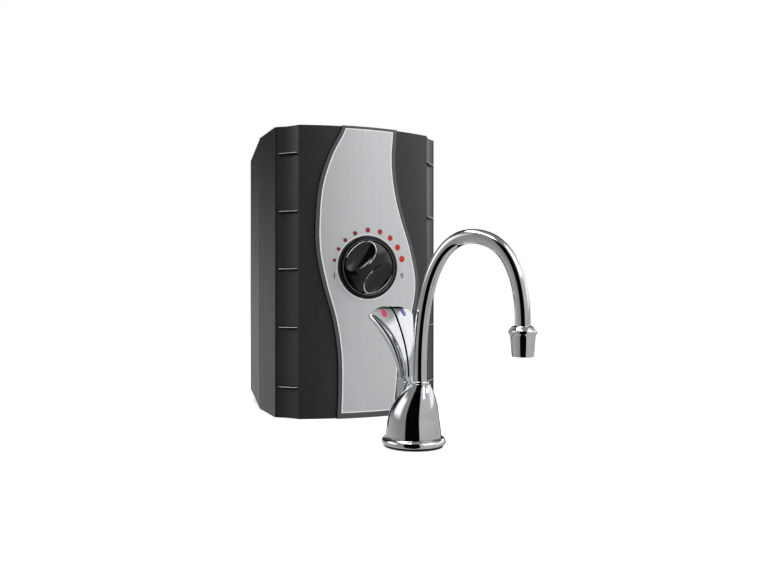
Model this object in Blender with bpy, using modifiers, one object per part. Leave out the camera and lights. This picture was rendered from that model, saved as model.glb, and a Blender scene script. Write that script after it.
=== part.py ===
"""Instant hot water dispenser: an under-sink heating tank with a dial, and its two-lever faucet.

Metres, +Z up. The tank's front faces -Y. The origin is the centre of the tank's flat bottom.
The faucet stands on the same plane in front of the tank, on an empty of its own: there +X runs
along the spout, +Y across it and +Z up.
"""

from math import asin, atan2, cos, pi, radians, sin, sqrt, tau

import bmesh
import bpy
from mathutils import Matrix, Vector

# Clearances and shared values
GAP = 0.0003  # between pieces that touch
RUNNING = 0.0003  # round a piece that turns or slides
OVERRUN = 0.004  # how far a cutter passes the face that it opens
SINK = 0.0005  # how deep a joined shape reaches into its neighbour
ROUND_SIDES = 24
FINE_SIDES = 32
SMALL_SIDES = 12
VESSEL_SIDES = 20
HOLLOW_SIDES = 16

# Tank case
TANK_WIDTH = 0.175
TANK_HEIGHT = 0.283
COVE = 0.018  # size of the cut front corners, along X and along Y
COVE_HOLLOW = 0.0022  # how far the corner's face dips below a straight cut
WALL_DEPTH = 0.058  # straight side wall, from the corner to the seam
REAR_DEPTH = 0.074
REAR_IN_SIDE = 0.0095  # how far the rear shell narrows on each side
REAR_IN_END = 0.010  # and at its top and its bottom
FACE_BOW = 0.012  # how far the front bulges in plan
SHELL = 0.0025
CASE_EDGE = 0.0012
FRONT_Y = -0.040  # where the front meets its cut corners

# Ribs across the cut corners
RIB_HEIGHT_SHARES = (0.103, 0.307, 0.507, 0.704, 0.903)
RIB_THICK = 0.0026
RIB_PROUD = 0.0008
RIB_ROOT_SHARE = 0.9  # of the wall, how deep a rib's root lies in it

# Fascia: a raised island with a recess for the metal face plate
ISLAND_PROUD = 0.0035
PLATE_THICK = 0.0012
PLATE_BELOW_RIM = 0.0004
PLATE_ROWS = 17
PLATE_COLUMNS = 6
RIM_BAND = 0.0040
PLATE_FOOT = 0.0052  # rim under the plate's lower edge
PLATE_HEAD = 0.0024  # rim above its upper edge
# Half-way line and half width of the S-shaped plate, both as shares of the tank's width,
# each at a share of the tank's height.
PLATE_MIDDLE_SHARES = (
    (0.00, -0.016), (0.10, -0.004), (0.22, 0.007), (0.34, 0.030), (0.46, 0.022),
    (0.58, -0.016), (0.70, -0.051), (0.80, -0.063), (0.90, -0.045), (1.00, -0.001),
)
PLATE_HALF_SHARES = (
    (0.00, 0.158), (0.10, 0.164), (0.22, 0.178), (0.34, 0.230), (0.46, 0.275),
    (0.58, 0.273), (0.70, 0.238), (0.80, 0.208), (0.90, 0.175), (1.00, 0.143),
)

# Dial
KNOB_X = -0.0030
KNOB_HEIGHT_SHARE = 0.5166
KNOB_Z = TANK_HEIGHT * KNOB_HEIGHT_SHARE
BEZEL_RADIUS = 0.0308
BEZEL_RING = 0.0042
BEZEL_DEPTH = 0.0058
BEZEL_FLOOR = 0.0015
KNOB_DEPTH = 0.0088  # at the middle of its domed face
KNOB_RIM = 0.0028  # its height at the edge
KNOB_LIP = 0.0011  # what the scoops leave at the edge
KNOB_EDGE = 0.0016
KNOB_POINTS_TO = radians(42)  # grip bar's angle above horizontal
GRIP_WIDTH = 0.0074
SCOOP_WIDTH = 0.0107
SCOOP_LENGTH = 0.0235
SCOOP_DEPTH = 0.0048
SHAFT_RADIUS = 0.0030
SHAFT_IN_KNOB = 0.0037
BUSH_RADIUS = 0.0046
NUT_RADIUS = 0.0075
NUT_THICK = 0.0028

# Thermostat behind the dial
THERMOSTAT_WIDTH = 0.040
THERMOSTAT_HEIGHT = 0.032
THERMOSTAT_DEPTH = 0.020
TERMINAL_WIDTH = 0.0063
TERMINAL_LENGTH = 0.007
TERMINAL_THICK = 0.0008
BULB_RADIUS = 0.0030
BULB_LENGTH = 0.060
BULB_DROP = 0.012  # from the thermostat's lower side to the bulb
BULB_LOW_Z = KNOB_Z - THERMOSTAT_HEIGHT / 2 - BULB_DROP - BULB_LENGTH
BULB_ANGLE = radians(-118)  # round the vessel, from +X
CAPILLARY_RADIUS = 0.0009
CAPILLARY_END_SHARE = 0.6  # of the thermostat's depth, where the capillary meets it

# Vessel and its heater
VESSEL_RADIUS = 0.056
VESSEL_Y = 0.047
VESSEL_LOW = 0.022
POCKET_DEPTH = 0.027  # pocket for the tube stubs, in the tank's top
POCKET_FLOOR_Z = TANK_HEIGHT - POCKET_DEPTH
CHAMBER_ROOM = 0.030  # from the vessel's shoulder to the pocket's floor
VESSEL_HIGH = POCKET_FLOOR_Z - CHAMBER_ROOM
VESSEL_DOME = 0.014
VESSEL_DOME_STEPS = 2
VESSEL_WALL = 0.0012
NECK_RADIUS = 0.012
NECK_HEIGHT = 0.006
DRAIN_RADIUS = 0.0095
DRAIN_LENGTH = 0.012
HEATER_Z = 0.056
HEATER_BOSS_RADIUS = 0.020
HEATER_BOSS_BORE = 0.014
HEATER_BOSS_PROUD = 0.005
GASKET_THICK = 0.0010
FLANGE_THICK = 0.0035
TERMINAL_POST_RADIUS = 0.0028
TERMINAL_POST_LENGTH = 0.009
ELEMENT_RADIUS = 0.0032
ELEMENT_SPREAD = 0.0075  # half the distance between its two legs
ELEMENT_LENGTH = 0.078
CUTOUT_RADIUS = 0.0090
CUTOUT_DEPTH = 0.009
CUTOUT_DROP = 0.030  # below the vessel's shoulder
CUTOUT_Z = VESSEL_HIGH - CUTOUT_DROP

# Insulation
FOAM_CLEAR = 0.0008
FOAM_LOW = 0.005
BULB_ROOM_WIDTH_SHARE = 0.60  # of the vessel's radius
BULB_ROOM_DEPTH_SHARE = 0.4  # of the thermostat's depth
GLAND_ROOM_DEPTH = 0.020

# Expansion chamber and the tube stubs in the pocket at the top rear
CHAMBER_RADIUS = 0.032
CHAMBER_WALL = 0.0018
POCKET_HALF_WIDTH = 0.034
POCKET_FRONT_Y = 0.046
POCKET_BACK_Y = 0.076
STUB_Y = 0.061
STUB_SPACING = 0.020
STUB_RADIUS = 0.0046
STUB_BORE = 0.0031
STUB_PROUD = 0.019  # above the pocket's floor
STUB_TOP_Z = POCKET_FLOOR_Z + STUB_PROUD
BARB_PROUD = 0.0009
BARB_PITCH = 0.0045
BARB_LENGTH_SHARE = 0.80  # of the pitch, from a barb's tip to its widest ring
BARB_END_SHARE = 0.85
GROMMET_WALL = 0.0016
GROMMET_LIP = 0.0016

# Fastenings
SCREW_RADIUS = 0.0018
SCREW_HEAD_RADIUS = 0.0034
SCREW_HEAD = 0.0013
SCREW_LENGTH = 0.009
TAB_WIDTH = 0.014
TAB_REACH = 0.016
TAB_THICK = 0.0065
TAB_X = 0.056
BRACKET_WIDTH = 0.100
BRACKET_HEIGHT = 0.044  # of the web
BRACKET_LIP = 0.013
BRACKET_DEPTH = 0.013
BRACKET_METAL = 0.0018
BRACKET_DROP = 0.101  # from the tank's top to the middle of the web
BRACKET_Z = TANK_HEIGHT - BRACKET_DROP
BRACKET_SCREW_X = 0.030
WALL_HOLE_X = 0.036
WALL_HOLE_RADIUS = 0.0024
GLAND_X = 0.048
GLAND_Z = 0.034
GLAND_RADIUS = 0.0090
GLAND_BORE = 0.0040
GLAND_NECK = 0.0062
GLAND_PROUD = 0.009
PLUG_HEAD_RADIUS = 0.0085
PLUG_HEAD = 0.005
PLUG_SHANK = 0.0055
PLUG_LENGTH = 0.011
SEAL_WIRE = 0.0010

# Faucet: place, base and bell
FAUCET_X = -0.021
FAUCET_Y = -0.186
SPOUT_HEADING = radians(-59)  # from +X, so the spout reaches forward and to the right
SEAL_RADIUS = 0.0235
SEAL_BORE = 0.0125
SEAL_THICK = 0.0014
FLANGE_RADIUS = 0.0256
FLANGE_BORE = 0.0166
FLANGE_TOP = 0.0076
FLANGE_GROOVE = 0.0030  # how far the flange's top draws in below the bell
BELL_WALL = 0.0025
BELL_CEILING = 0.0415
BELL_TOP = 0.0495
BELL_FOOT_RADIUS = 0.0222
BELL_LEAN_FROM = 0.022
# Outer radius of the bell as shares of its foot radius, at shares of its height.
BELL_SHARES = (
    (0.00, 1.000), (0.08, 0.990), (0.17, 0.968), (0.27, 0.940), (0.40, 0.900),
    (0.52, 0.850), (0.64, 0.770), (0.76, 0.665), (0.87, 0.545), (0.95, 0.440), (1.00, 0.387),
)
SPOUT_OFFSET = 0.006  # the tube stands this far ahead of the base's centre

# Valve block, stems and the hot side's return spring
BLOCK_RADIUS = 0.0160
BLOCK_SHOULDER = 0.026
BLOCK_TOP = 0.0353
BLOCK_UPPER_RADIUS = 0.0095
BLOCK_UPPER_X = 0.0055
WATERWAY_RADIUS = 0.0020
INLET_RADIUS = 0.0036
INLET_DEPTH = 0.010
INLET_CIRCLE = 0.0075
STEM_Z = 0.0318
STEM_Y = 0.0053
STEM_RADIUS = 0.00125
STEM_HEAD_RADIUS = 0.0025
STEM_HEAD = 0.0012
STEM_LENGTH = 0.0109
STEM_TRAVEL_ROOM = 0.0043  # in the bore, ahead of the stem's tip
STEM_WELL_RADIUS = 0.0028
STEM_WELL_FLOOR_X = 0.0036
SPRING_TURNS = 5
SPRING_WIRE = 0.0003
SPRING_RADIUS = 0.0020
POINTS_PER_TURN = 8

# Swivel, spout and nozzle
TUBE_RADIUS = 0.0056
TUBE_BORE = 0.0045
TUBE_FOOT_Z = 0.0370
BUSH_WALL = 0.0010
BUSH_LOW = 0.0415
COLLAR_RADIUS = 0.0076
COLLAR_HEIGHT = 0.0020
STRAIGHT_TO = 0.060  # the tube is upright to here
ARCH_X = 0.0442  # of the arch's top, from the tube's axis
ARCH_Z = 0.1646
REACH = 0.0866  # from the tube's axis to the nozzle's
TUBE_END_Z = 0.0982
RISE_HANDLE_SHARE = 0.66  # how strongly each stretch keeps its direction
ARCH_HANDLE_SHARE = 0.60
FALL_HANDLE_SHARE = 0.66
NOZZLE_TOP_RADIUS = 0.0071
NOZZLE_COLLAR_RADIUS = 0.0104
NOZZLE_END_RADIUS = 0.0079
NOZZLE_HEIGHT = 0.0225
NOZZLE_COLLAR_SHARE = 0.80  # height of the collar's widest ring in the nozzle
NOZZLE_WALL = 0.0016
NOZZLE_LAP = 0.0030  # how far the nozzle reaches up round the tube
INSERT_HEIGHT = 0.005
INSERT_HOLE_RADIUS = 0.0008
INSERT_HOLE_CIRCLE = 0.0034
INSERT_HOLES = 8

# Levers
PIVOT_X = -0.006
PIVOT_Z = 0.039
PIN_RADIUS = 0.0015
PIN_HALF_LENGTH = 0.0112
HUB_RADIUS = 0.0032
LEVER_SPLIT = 0.00035  # half the slit between the two levers
LEVER_FOOT_WIDTH = 0.0094
LEVER_FOOT_BACK = 0.0092
LEVER_FOOT_FRONT = 0.0030
LEVER_FOOT_TOP = 0.0550
TOE_TIP_Z = 0.0308
TOE_THICK = 0.0013
BLADE_THICK = 0.0022
BLADE_ROWS = 10
BLADE_COLUMNS = 4
BLADE_HEIGHT = 0.0580  # from the blade's root to its tip
BLADE_START_Z = 0.0530
BLADE_ROOT_X = -0.0044
BLADE_LEAN = 0.0230  # how far the tip lies behind the root
BLADE_ROOT_WIDTH = 0.0102
BLADE_TIP_WIDTH = 0.0371
BLADE_EVEN_LEAN_SHARE = 0.71  # of the lean that is spread over the height, the rest is at the tip
BLADE_CURL_POWER = 12  # how closely the rest of the lean keeps to the tip
BLADE_SWEEP = 0.0040  # how far the outer edge is swept back at the tip
BLADE_ROOT_SWEEP_SHARE = 0.2
BLADE_SPREAD_POWER = 1.65
BLADE_NORMAL_TO_SHARE = 0.98  # of the height; above it the blade's normal no longer turns
BLADE_CORNER_SHARE = 0.127  # of the height that the rounded outer corner takes
POCKET_BACK = 0.0106
POCKET_FRONT = 0.0023
POCKET_HALF = 0.0100
POCKET_FLOOR = 0.0280
MARKER_RADIUS = 0.0031
MARKER_THICK = 0.0010
MARKER_PROUD = 0.0002
MARKER_ALONG_SHARE = 0.92
MARKER_ACROSS_SHARE = 0.42

# Worked out from the sizes above
HALF_WIDTH = TANK_WIDTH / 2
HALF_FACE = HALF_WIDTH - COVE
SEAM_Y = FRONT_Y + COVE + WALL_DEPTH
REAR_Y = SEAM_Y + REAR_DEPTH
NOSE_Y = FRONT_Y - FACE_BOW  # the front's most forward line
BEZEL_BACK_Y = NOSE_Y - GAP
KNOB_BACK_Y = BEZEL_BACK_Y - BEZEL_FLOOR - GAP
KNOB_RADIUS = BEZEL_RADIUS - BEZEL_RING - RUNNING
PLATE_INSET = PLATE_BELOW_RIM + PLATE_THICK
TUBE_AXIS_X = SPOUT_OFFSET
BELL_BOTTOM = FLANGE_TOP + GAP
BUSH_OUTER = TUBE_RADIUS + RUNNING + BUSH_WALL


def clear_scene():
    for obj in list(bpy.data.objects):
        bpy.data.objects.remove(obj, do_unlink=True)


def make_collection(name, hidden=False):
    collection = bpy.data.collections.new(name)
    bpy.context.scene.collection.children.link(collection)
    collection.hide_render = hidden
    return collection


clear_scene()
PARTS = make_collection("instant_hot_water_dispenser")
CUTTERS = make_collection("cutters", hidden=True)


def principled(name, colour, roughness, metallic=0.0):
    material = bpy.data.materials.new(name)
    material.use_nodes = True
    shader = material.node_tree.nodes["Principled BSDF"]
    shader.inputs["Base Color"].default_value = (*colour, 1.0)
    shader.inputs["Roughness"].default_value = roughness
    shader.inputs["Metallic"].default_value = metallic
    material.diffuse_color = (*colour, 1.0)
    return material


CASE_BLACK = principled("case_black", (0.022, 0.022, 0.024), 0.55)
RIM_GREY = principled("rim_grey", (0.060, 0.062, 0.066), 0.38)
BRUSHED = principled("brushed_silver", (0.46, 0.47, 0.48), 0.36, 1.0)
GLOSS_BLACK = principled("gloss_black", (0.012, 0.012, 0.013), 0.22)
CHROME = principled("chrome", (0.86, 0.87, 0.88), 0.06, 1.0)
STAINLESS = principled("stainless", (0.52, 0.52, 0.51), 0.34, 1.0)
ZINC = principled("zinc_steel", (0.60, 0.60, 0.58), 0.42, 1.0)
BRASS = principled("brass", (0.72, 0.52, 0.24), 0.35, 1.0)
RUBBER = principled("rubber", (0.020, 0.020, 0.020), 0.80)
FOAM = principled("foam", (0.88, 0.88, 0.86), 0.90)
WHITE_PLASTIC = principled("white_plastic", (0.80, 0.80, 0.78), 0.45)
HEATER = principled("heater_sheath", (0.34, 0.36, 0.33), 0.45, 1.0)
MARK_RED = principled("mark_red", (0.72, 0.06, 0.12), 0.35)
MARK_BLUE = principled("mark_blue", (0.06, 0.06, 0.42), 0.35)


def add_object(name, mesh, material, parent=None):
    """A named piece, or a cutter where it has no material."""
    obj = bpy.data.objects.new(name, mesh)
    if material is None:
        CUTTERS.objects.link(obj)
        obj.hide_render = True
        obj.display_type = "WIRE"
    else:
        PARTS.objects.link(obj)
        mesh.materials.append(material)
        mesh.shade_smooth()
        mesh.set_sharp_from_angle(angle=radians(35))
    obj.parent = parent
    return obj


def to_object(name, bm, material, parent=None, place=None):
    """The bmesh as an object; place is a matrix applied to its points."""
    if place is not None:
        bm.transform(place)
    bmesh.ops.recalc_face_normals(bm, faces=bm.faces)
    if bm.calc_volume(signed=True) < 0:
        bmesh.ops.reverse_faces(bm, faces=bm.faces)
    mesh = bpy.data.meshes.new(name)
    bm.to_mesh(mesh)
    bm.free()
    return add_object(name, mesh, material, parent)


def box(name, low, high, material=None, parent=None):
    low, high = Vector(low), Vector(high)
    bm = bmesh.new()
    bmesh.ops.create_cube(bm, size=1.0)
    size, middle = high - low, (high + low) / 2
    place = Matrix.Translation(middle) @ Matrix.Diagonal((*size, 1.0))
    return to_object(name, bm, material, parent, place)


def along(axis):
    """Turns +Z to the named axis."""
    return {
        "Z": Matrix.Identity(4),
        "Y": Matrix.Rotation(radians(-90), 4, "X"),
        "-Y": Matrix.Rotation(radians(90), 4, "X"),
        "X": Matrix.Rotation(radians(90), 4, "Y"),
    }[axis]


def cylinder(name, radius, start, length, axis="Z", material=None, parent=None, sides=ROUND_SIDES):
    """A cylinder from the start point, its length along the axis."""
    bm = bmesh.new()
    bmesh.ops.create_cone(
        bm, cap_ends=True, segments=sides, radius1=radius, radius2=radius, depth=length
    )
    lift = Matrix.Translation((0, 0, length / 2))
    place = Matrix.Translation(start) @ along(axis) @ lift
    return to_object(name, bm, material, parent, place)


def turned(name, profile, start=(0, 0, 0), axis="Z", material=None, parent=None, sides=ROUND_SIDES):
    """A solid of revolution. The profile is (radius, height) and closes on itself or on the axis."""
    closes_on_axis = profile[0][0] == 0 and profile[-1][0] == 0
    bm = bmesh.new()
    points = [bm.verts.new((radius, 0, height)) for radius, height in profile]
    edges = [bm.edges.new(pair) for pair in zip(points, points[1:])]
    if not closes_on_axis:
        edges.append(bm.edges.new((points[-1], points[0])))
    bmesh.ops.spin(
        bm, geom=points + edges, cent=(0, 0, 0), axis=(0, 0, 1), angle=tau, steps=sides, use_merge=True
    )
    bmesh.ops.remove_doubles(bm, verts=bm.verts, dist=GAP / 30)
    place = Matrix.Translation(start) @ along(axis)
    return to_object(name, bm, material, parent, place)


def prism(name, outline, low, high, plane="XY", material=None, parent=None):
    """A flat outline drawn out from low to high, square to its plane."""
    lay = {
        "XY": lambda a, b, depth: (a, b, depth),
        "XZ": lambda a, b, depth: (a, depth, b),
        "YZ": lambda a, b, depth: (depth, a, b),
    }[plane]
    bm = bmesh.new()
    rings = [[bm.verts.new(lay(a, b, depth)) for a, b in outline] for depth in (low, high)]
    bm.faces.new(rings[0])
    bm.faces.new(rings[1])
    for i in range(len(outline)):
        j = (i + 1) % len(outline)
        bm.faces.new((rings[0][i], rings[0][j], rings[1][j], rings[1][i]))
    return to_object(name, bm, material, parent)


def slab(name, surface, back, rows, columns, material=None, parent=None):
    """A curved sheet: surface(u, v) gives its front, and back(point) the point behind it."""
    bm = bmesh.new()
    fronts, backs = [], []
    for row in range(rows + 1):
        points = [surface(column / columns, row / rows) for column in range(columns + 1)]
        fronts.append([bm.verts.new(point) for point in points])
        backs.append([bm.verts.new(back(point)) for point in points])
    for sheet in (fronts, backs):
        for low, high in zip(sheet, sheet[1:]):
            for i in range(columns):
                bm.faces.new((low[i], low[i + 1], high[i + 1], high[i]))
    for line in (0, rows):
        for i in range(columns):
            front, rear = fronts[line], backs[line]
            bm.faces.new((front[i], front[i + 1], rear[i + 1], rear[i]))
    for line in (0, columns):
        for i in range(rows):
            quad = (fronts[i][line], fronts[i + 1][line], backs[i + 1][line], backs[i][line])
            bm.faces.new(quad)
    return to_object(name, bm, material, parent)


def tube(name, points, radius, material=None, parent=None, resolution=2):
    """A solid rod along the points, as a mesh: a curve with a bevel and filled caps."""
    curve = bpy.data.curves.new(name, "CURVE")
    curve.dimensions = "3D"
    curve.bevel_depth = radius
    curve.bevel_resolution = resolution
    curve.use_fill_caps = True
    spline = curve.splines.new("POLY")
    spline.points.add(len(points) - 1)
    for spot, point in zip(spline.points, points):
        spot.co = (*point, 1.0)
    guide = bpy.data.objects.new(name + "_guide", curve)
    bpy.context.scene.collection.objects.link(guide)
    graph = bpy.context.evaluated_depsgraph_get()
    mesh = bpy.data.meshes.new_from_object(guide.evaluated_get(graph))
    bpy.data.objects.remove(guide, do_unlink=True)
    bm = bmesh.new()
    bm.from_mesh(mesh)
    bmesh.ops.remove_doubles(bm, verts=bm.verts, dist=radius / 100)
    return to_object(name, bm, material, parent)


def boolean(target, other, operation):
    modifier = target.modifiers.new(operation.lower() + "_" + other.name, "BOOLEAN")
    modifier.operation = operation
    modifier.solver = "EXACT"
    modifier.object = other


def cut(target, *others):
    for other in others:
        boolean(target, other, "DIFFERENCE")


def join(target, *others):
    for other in others:
        boolean(target, other, "UNION")


def soften(obj, width, segments=1):
    """Rounds the sharp edges."""
    modifier = obj.modifiers.new("edges", "BEVEL")
    modifier.width = width
    modifier.segments = segments
    modifier.limit_method = "ANGLE"
    modifier.angle_limit = radians(40)


def read_shares(table, share):
    """The value at a share of the height, on a smooth line through the table."""
    for (low, a), (high, b) in zip(table, table[1:]):
        if share <= high:
            break
    part = min(max((share - low) / (high - low), 0.0), 1.0)
    at = table.index((low, a))
    before = table[max(at - 1, 0)][1]
    after = table[min(at + 2, len(table) - 1)][1]
    slope_a, slope_b = (b - before) / 2, (after - a) / 2
    square, cube = part * part, part**3
    return (
        (2 * cube - 3 * square + 1) * a
        + (cube - 2 * square + part) * slope_a
        + (3 * square - 2 * cube) * b
        + (cube - square) * slope_b
    )


# Tank case: outline in plan


def face_y(x):
    """The front's line in plan, bulging forward in the middle."""
    return FRONT_Y - FACE_BOW * (1 - (x / HALF_FACE) ** 2)


def cove_points(bulge, count=4):
    """The left cut corner, from the side wall to the front, bulging outward by bulge."""
    points = []
    for i in range(count + 1):
        share = i / count
        swell = bulge * sin(pi * share) / sqrt(2)
        points.append((-HALF_WIDTH + COVE * share - swell, FRONT_Y + COVE * (1 - share) - swell))
    return points


def case_outline(inset, rear_y, columns=12):
    """The case in plan, drawn in by inset, open to a straight line at rear_y."""
    shift = inset / sqrt(2)
    left = [(x + shift, y + shift) for x, y in cove_points(-COVE_HOLLOW)]
    left[0] = (-HALF_WIDTH + inset, left[0][1])
    stations = [HALF_FACE * (2 * i / columns - 1) for i in range(1, columns)]
    front = [(x, face_y(x) + inset) for x in stations]
    right = [(-x, y) for x, y in reversed(left)]
    return [(-HALF_WIDTH + inset, rear_y), *left, *front, *right, (HALF_WIDTH - inset, rear_y)]


def rear_block(name, inset, front_y, rear_y, material=None, low=None, high=None):
    """The rear case's tapering block, drawn in by inset."""
    bm = bmesh.new()
    corners = {}
    for y in (front_y, rear_y):
        share = (y - SEAM_Y) / REAR_DEPTH
        half = HALF_WIDTH - REAR_IN_SIDE * share - inset
        bottom = REAR_IN_END * share + inset
        top = TANK_HEIGHT - bottom
        if low is not None:
            bottom = max(bottom, low)
        if high is not None:
            top = min(top, high)
        ring = [(-half, bottom), (half, bottom), (half, top), (-half, top)]
        corners[y] = [bm.verts.new((x, y, z)) for x, z in ring]
    near, far = corners[front_y], corners[rear_y]
    bm.faces.new(near)
    bm.faces.new(far)
    for i in range(4):
        j = (i + 1) % 4
        bm.faces.new((near[i], near[j], far[j], far[i]))
    return to_object(name, bm, material)


def make_front_shell():
    shell = prism("front_shell", case_outline(0, SEAM_Y), 0, TANK_HEIGHT, material=CASE_BLACK)
    soften(shell, CASE_EDGE)
    inside = prism(
        "front_shell_inside", case_outline(SHELL, SEAM_Y + OVERRUN), SHELL, TANK_HEIGHT - SHELL
    )
    cut(shell, inside)
    outer = cove_points(RIB_PROUD)
    root = SHELL * RIB_ROOT_SHARE
    inner = [(x + root, y + root) for x, y in cove_points(-COVE_HOLLOW)][1:-1]
    for number, share in enumerate(RIB_HEIGHT_SHARES, 1):
        low = TANK_HEIGHT * share - RIB_THICK / 2
        for side, sign in (("left", 1), ("right", -1)):
            outline = [(sign * x, y) for x, y in outer + inner[::-1]]
            join(shell, prism(f"rib_{side}_{number}", outline, low, low + RIB_THICK))
    bush = (KNOB_X, NOSE_Y + SHELL + OVERRUN, KNOB_Z)
    depth = SHELL + 2 * OVERRUN
    cut(shell, cylinder("bush_hole", BUSH_RADIUS + GAP, bush, depth, "-Y", sides=SMALL_SIDES))
    for end, x, z, axis in screw_places():
        start = (x, SEAM_Y - TAB_REACH / 2, z)
        cut(shell, screw_cutter(f"front_{end}", start, axis))


def screw_places():
    """Four case screws: two up through the bottom wall and two down through the top one."""
    places = []
    for side in (-1, 1):
        places.append((f"low_{side}", side * TAB_X, 0.0, "up"))
        places.append((f"high_{side}", side * TAB_X, TANK_HEIGHT, "down"))
    return places


def flip(direction):
    return Matrix.Identity(4) if direction == "up" else Matrix.Rotation(pi, 4, "X")


def screw_cutter(name, start, direction):
    """Hole and head recess for a case screw."""
    head = SCREW_HEAD_RADIUS + GAP
    hole = SCREW_RADIUS + GAP
    recess = SCREW_HEAD + 2 * GAP
    through = SHELL + 2 * GAP + SCREW_LENGTH + GAP
    profile = [
        (0, -OVERRUN), (head, -OVERRUN), (head, recess), (hole, recess), (hole, through), (0, through),
    ]
    cutter = turned(name + "_screw_hole", profile, sides=SMALL_SIDES)
    cutter.data.transform(Matrix.Translation(start) @ flip(direction))
    return cutter


def make_rear_shell():
    shell = rear_block("rear_shell", 0, SEAM_Y + GAP, REAR_Y, CASE_BLACK)
    soften(shell, CASE_EDGE)
    cut(shell, rear_block("rear_shell_inside", SHELL, SEAM_Y - OVERRUN, REAR_Y - SHELL))
    floor = POCKET_FLOOR_Z - SHELL
    pocket = box(
        "pocket_walls",
        (-POCKET_HALF_WIDTH - SHELL, POCKET_FRONT_Y - SHELL, floor),
        (POCKET_HALF_WIDTH + SHELL, POCKET_BACK_Y + SHELL, TANK_HEIGHT),
    )
    boolean(pocket, rear_block("pocket_limit", SHELL / 2, SEAM_Y, REAR_Y), "INTERSECT")
    join(shell, pocket)
    room = box(
        "pocket_room",
        (-POCKET_HALF_WIDTH, POCKET_FRONT_Y, POCKET_FLOOR_Z),
        (POCKET_HALF_WIDTH, POCKET_BACK_Y, TANK_HEIGHT + OVERRUN),
    )
    cut(shell, room)
    for _, x in stub_places():
        start = (x, STUB_Y, floor - OVERRUN)
        hole = STUB_RADIUS + GAP + GROMMET_WALL + GAP
        cut(shell, cylinder("grommet_hole", hole, start, SHELL + 2 * OVERRUN, sides=SMALL_SIDES))
    for end, x, z, direction in screw_places():
        inner = SHELL + GAP
        low = inner if direction == "up" else TANK_HEIGHT - inner - TAB_THICK
        tab = box(
            f"tab_{end}",
            (x - TAB_WIDTH / 2, SEAM_Y - TAB_REACH, low),
            (x + TAB_WIDTH / 2, SEAM_Y + TAB_REACH / 2, low + TAB_THICK),
        )
        join(shell, tab)
        cut(shell, screw_cutter(f"rear_{end}", (x, SEAM_Y - TAB_REACH / 2, z), direction))
    drain = (0, VESSEL_Y, -OVERRUN)
    cut(shell, cylinder("drain_hole", PLUG_HEAD_RADIUS + 2 * GAP, drain, 3 * OVERRUN, sides=SMALL_SIDES))
    gland = (GLAND_X, REAR_Y - SHELL - OVERRUN, GLAND_Z)
    depth = SHELL + 2 * OVERRUN
    cut(shell, cylinder("gland_hole", GLAND_NECK + GAP, gland, depth, "Y", sides=SMALL_SIDES))
    for side in (-1, 1):
        start = (side * BRACKET_SCREW_X, REAR_Y - SHELL - OVERRUN, BRACKET_Z)
        cut(shell, cylinder("bracket_hole", SCREW_RADIUS + GAP, start, depth, "Y", sides=SMALL_SIDES))


def make_case_screws():
    for number, (_, x, z, direction) in enumerate(screw_places(), 1):
        seat = SCREW_HEAD + GAP
        end = seat + SCREW_LENGTH
        profile = [
            (0, GAP), (SCREW_HEAD_RADIUS, GAP), (SCREW_HEAD_RADIUS, seat),
            (SCREW_RADIUS, seat), (SCREW_RADIUS, end - SCREW_RADIUS), (0, end),
        ]
        screw = turned(f"case_screw_{number}", profile, material=ZINC, sides=SMALL_SIDES)
        screw.data.transform(Matrix.Translation((x, SEAM_Y - TAB_REACH / 2, z)) @ flip(direction))


# Fascia


def plate_edges(z):
    """Left and right edge of the face plate at a height."""
    share = z / TANK_HEIGHT
    middle = read_shares(PLATE_MIDDLE_SHARES, share) * TANK_WIDTH
    half = read_shares(PLATE_HALF_SHARES, share) * TANK_WIDTH
    return middle - half, middle + half


def fascia_slab(name, grow, low, high, front, thick, material=None):
    """A sheet with the plate's outline, wider by grow, its face at front before the case."""

    def surface(u, v):
        z = low + (high - low) * v
        left, right = plate_edges(min(max(z, 0), TANK_HEIGHT))
        x = left - grow + (right - left + 2 * grow) * u
        return Vector((x, face_y(x) - front, z))

    def back(point):
        return point + Vector((0, thick, 0))

    return slab(name, surface, back, PLATE_ROWS, PLATE_COLUMNS, material)


def dial_hole(name, radius):
    start = (KNOB_X, NOSE_Y + SHELL, KNOB_Z)
    return cylinder(name, radius, start, SHELL + ISLAND_PROUD + OVERRUN, "-Y")


def make_fascia():
    rim = fascia_slab(
        "fascia_rim", RIM_BAND, 0, TANK_HEIGHT, ISLAND_PROUD, ISLAND_PROUD - GAP, RIM_GREY
    )
    soften(rim, CASE_EDGE / 2)
    low, high = PLATE_FOOT, TANK_HEIGHT - PLATE_HEAD
    recess = fascia_slab(
        "plate_recess", GAP, low - GAP, high + GAP, ISLAND_PROUD + OVERRUN,
        OVERRUN + PLATE_INSET + GAP,
    )
    cut(rim, recess, dial_hole("rim_dial_hole", BEZEL_RADIUS + GAP))
    plate = fascia_slab(
        "face_plate", 0, low, high, ISLAND_PROUD - PLATE_BELOW_RIM, PLATE_THICK, BRUSHED
    )
    cut(plate, dial_hole("plate_dial_hole", BEZEL_RADIUS + GAP))


# Dial


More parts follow.
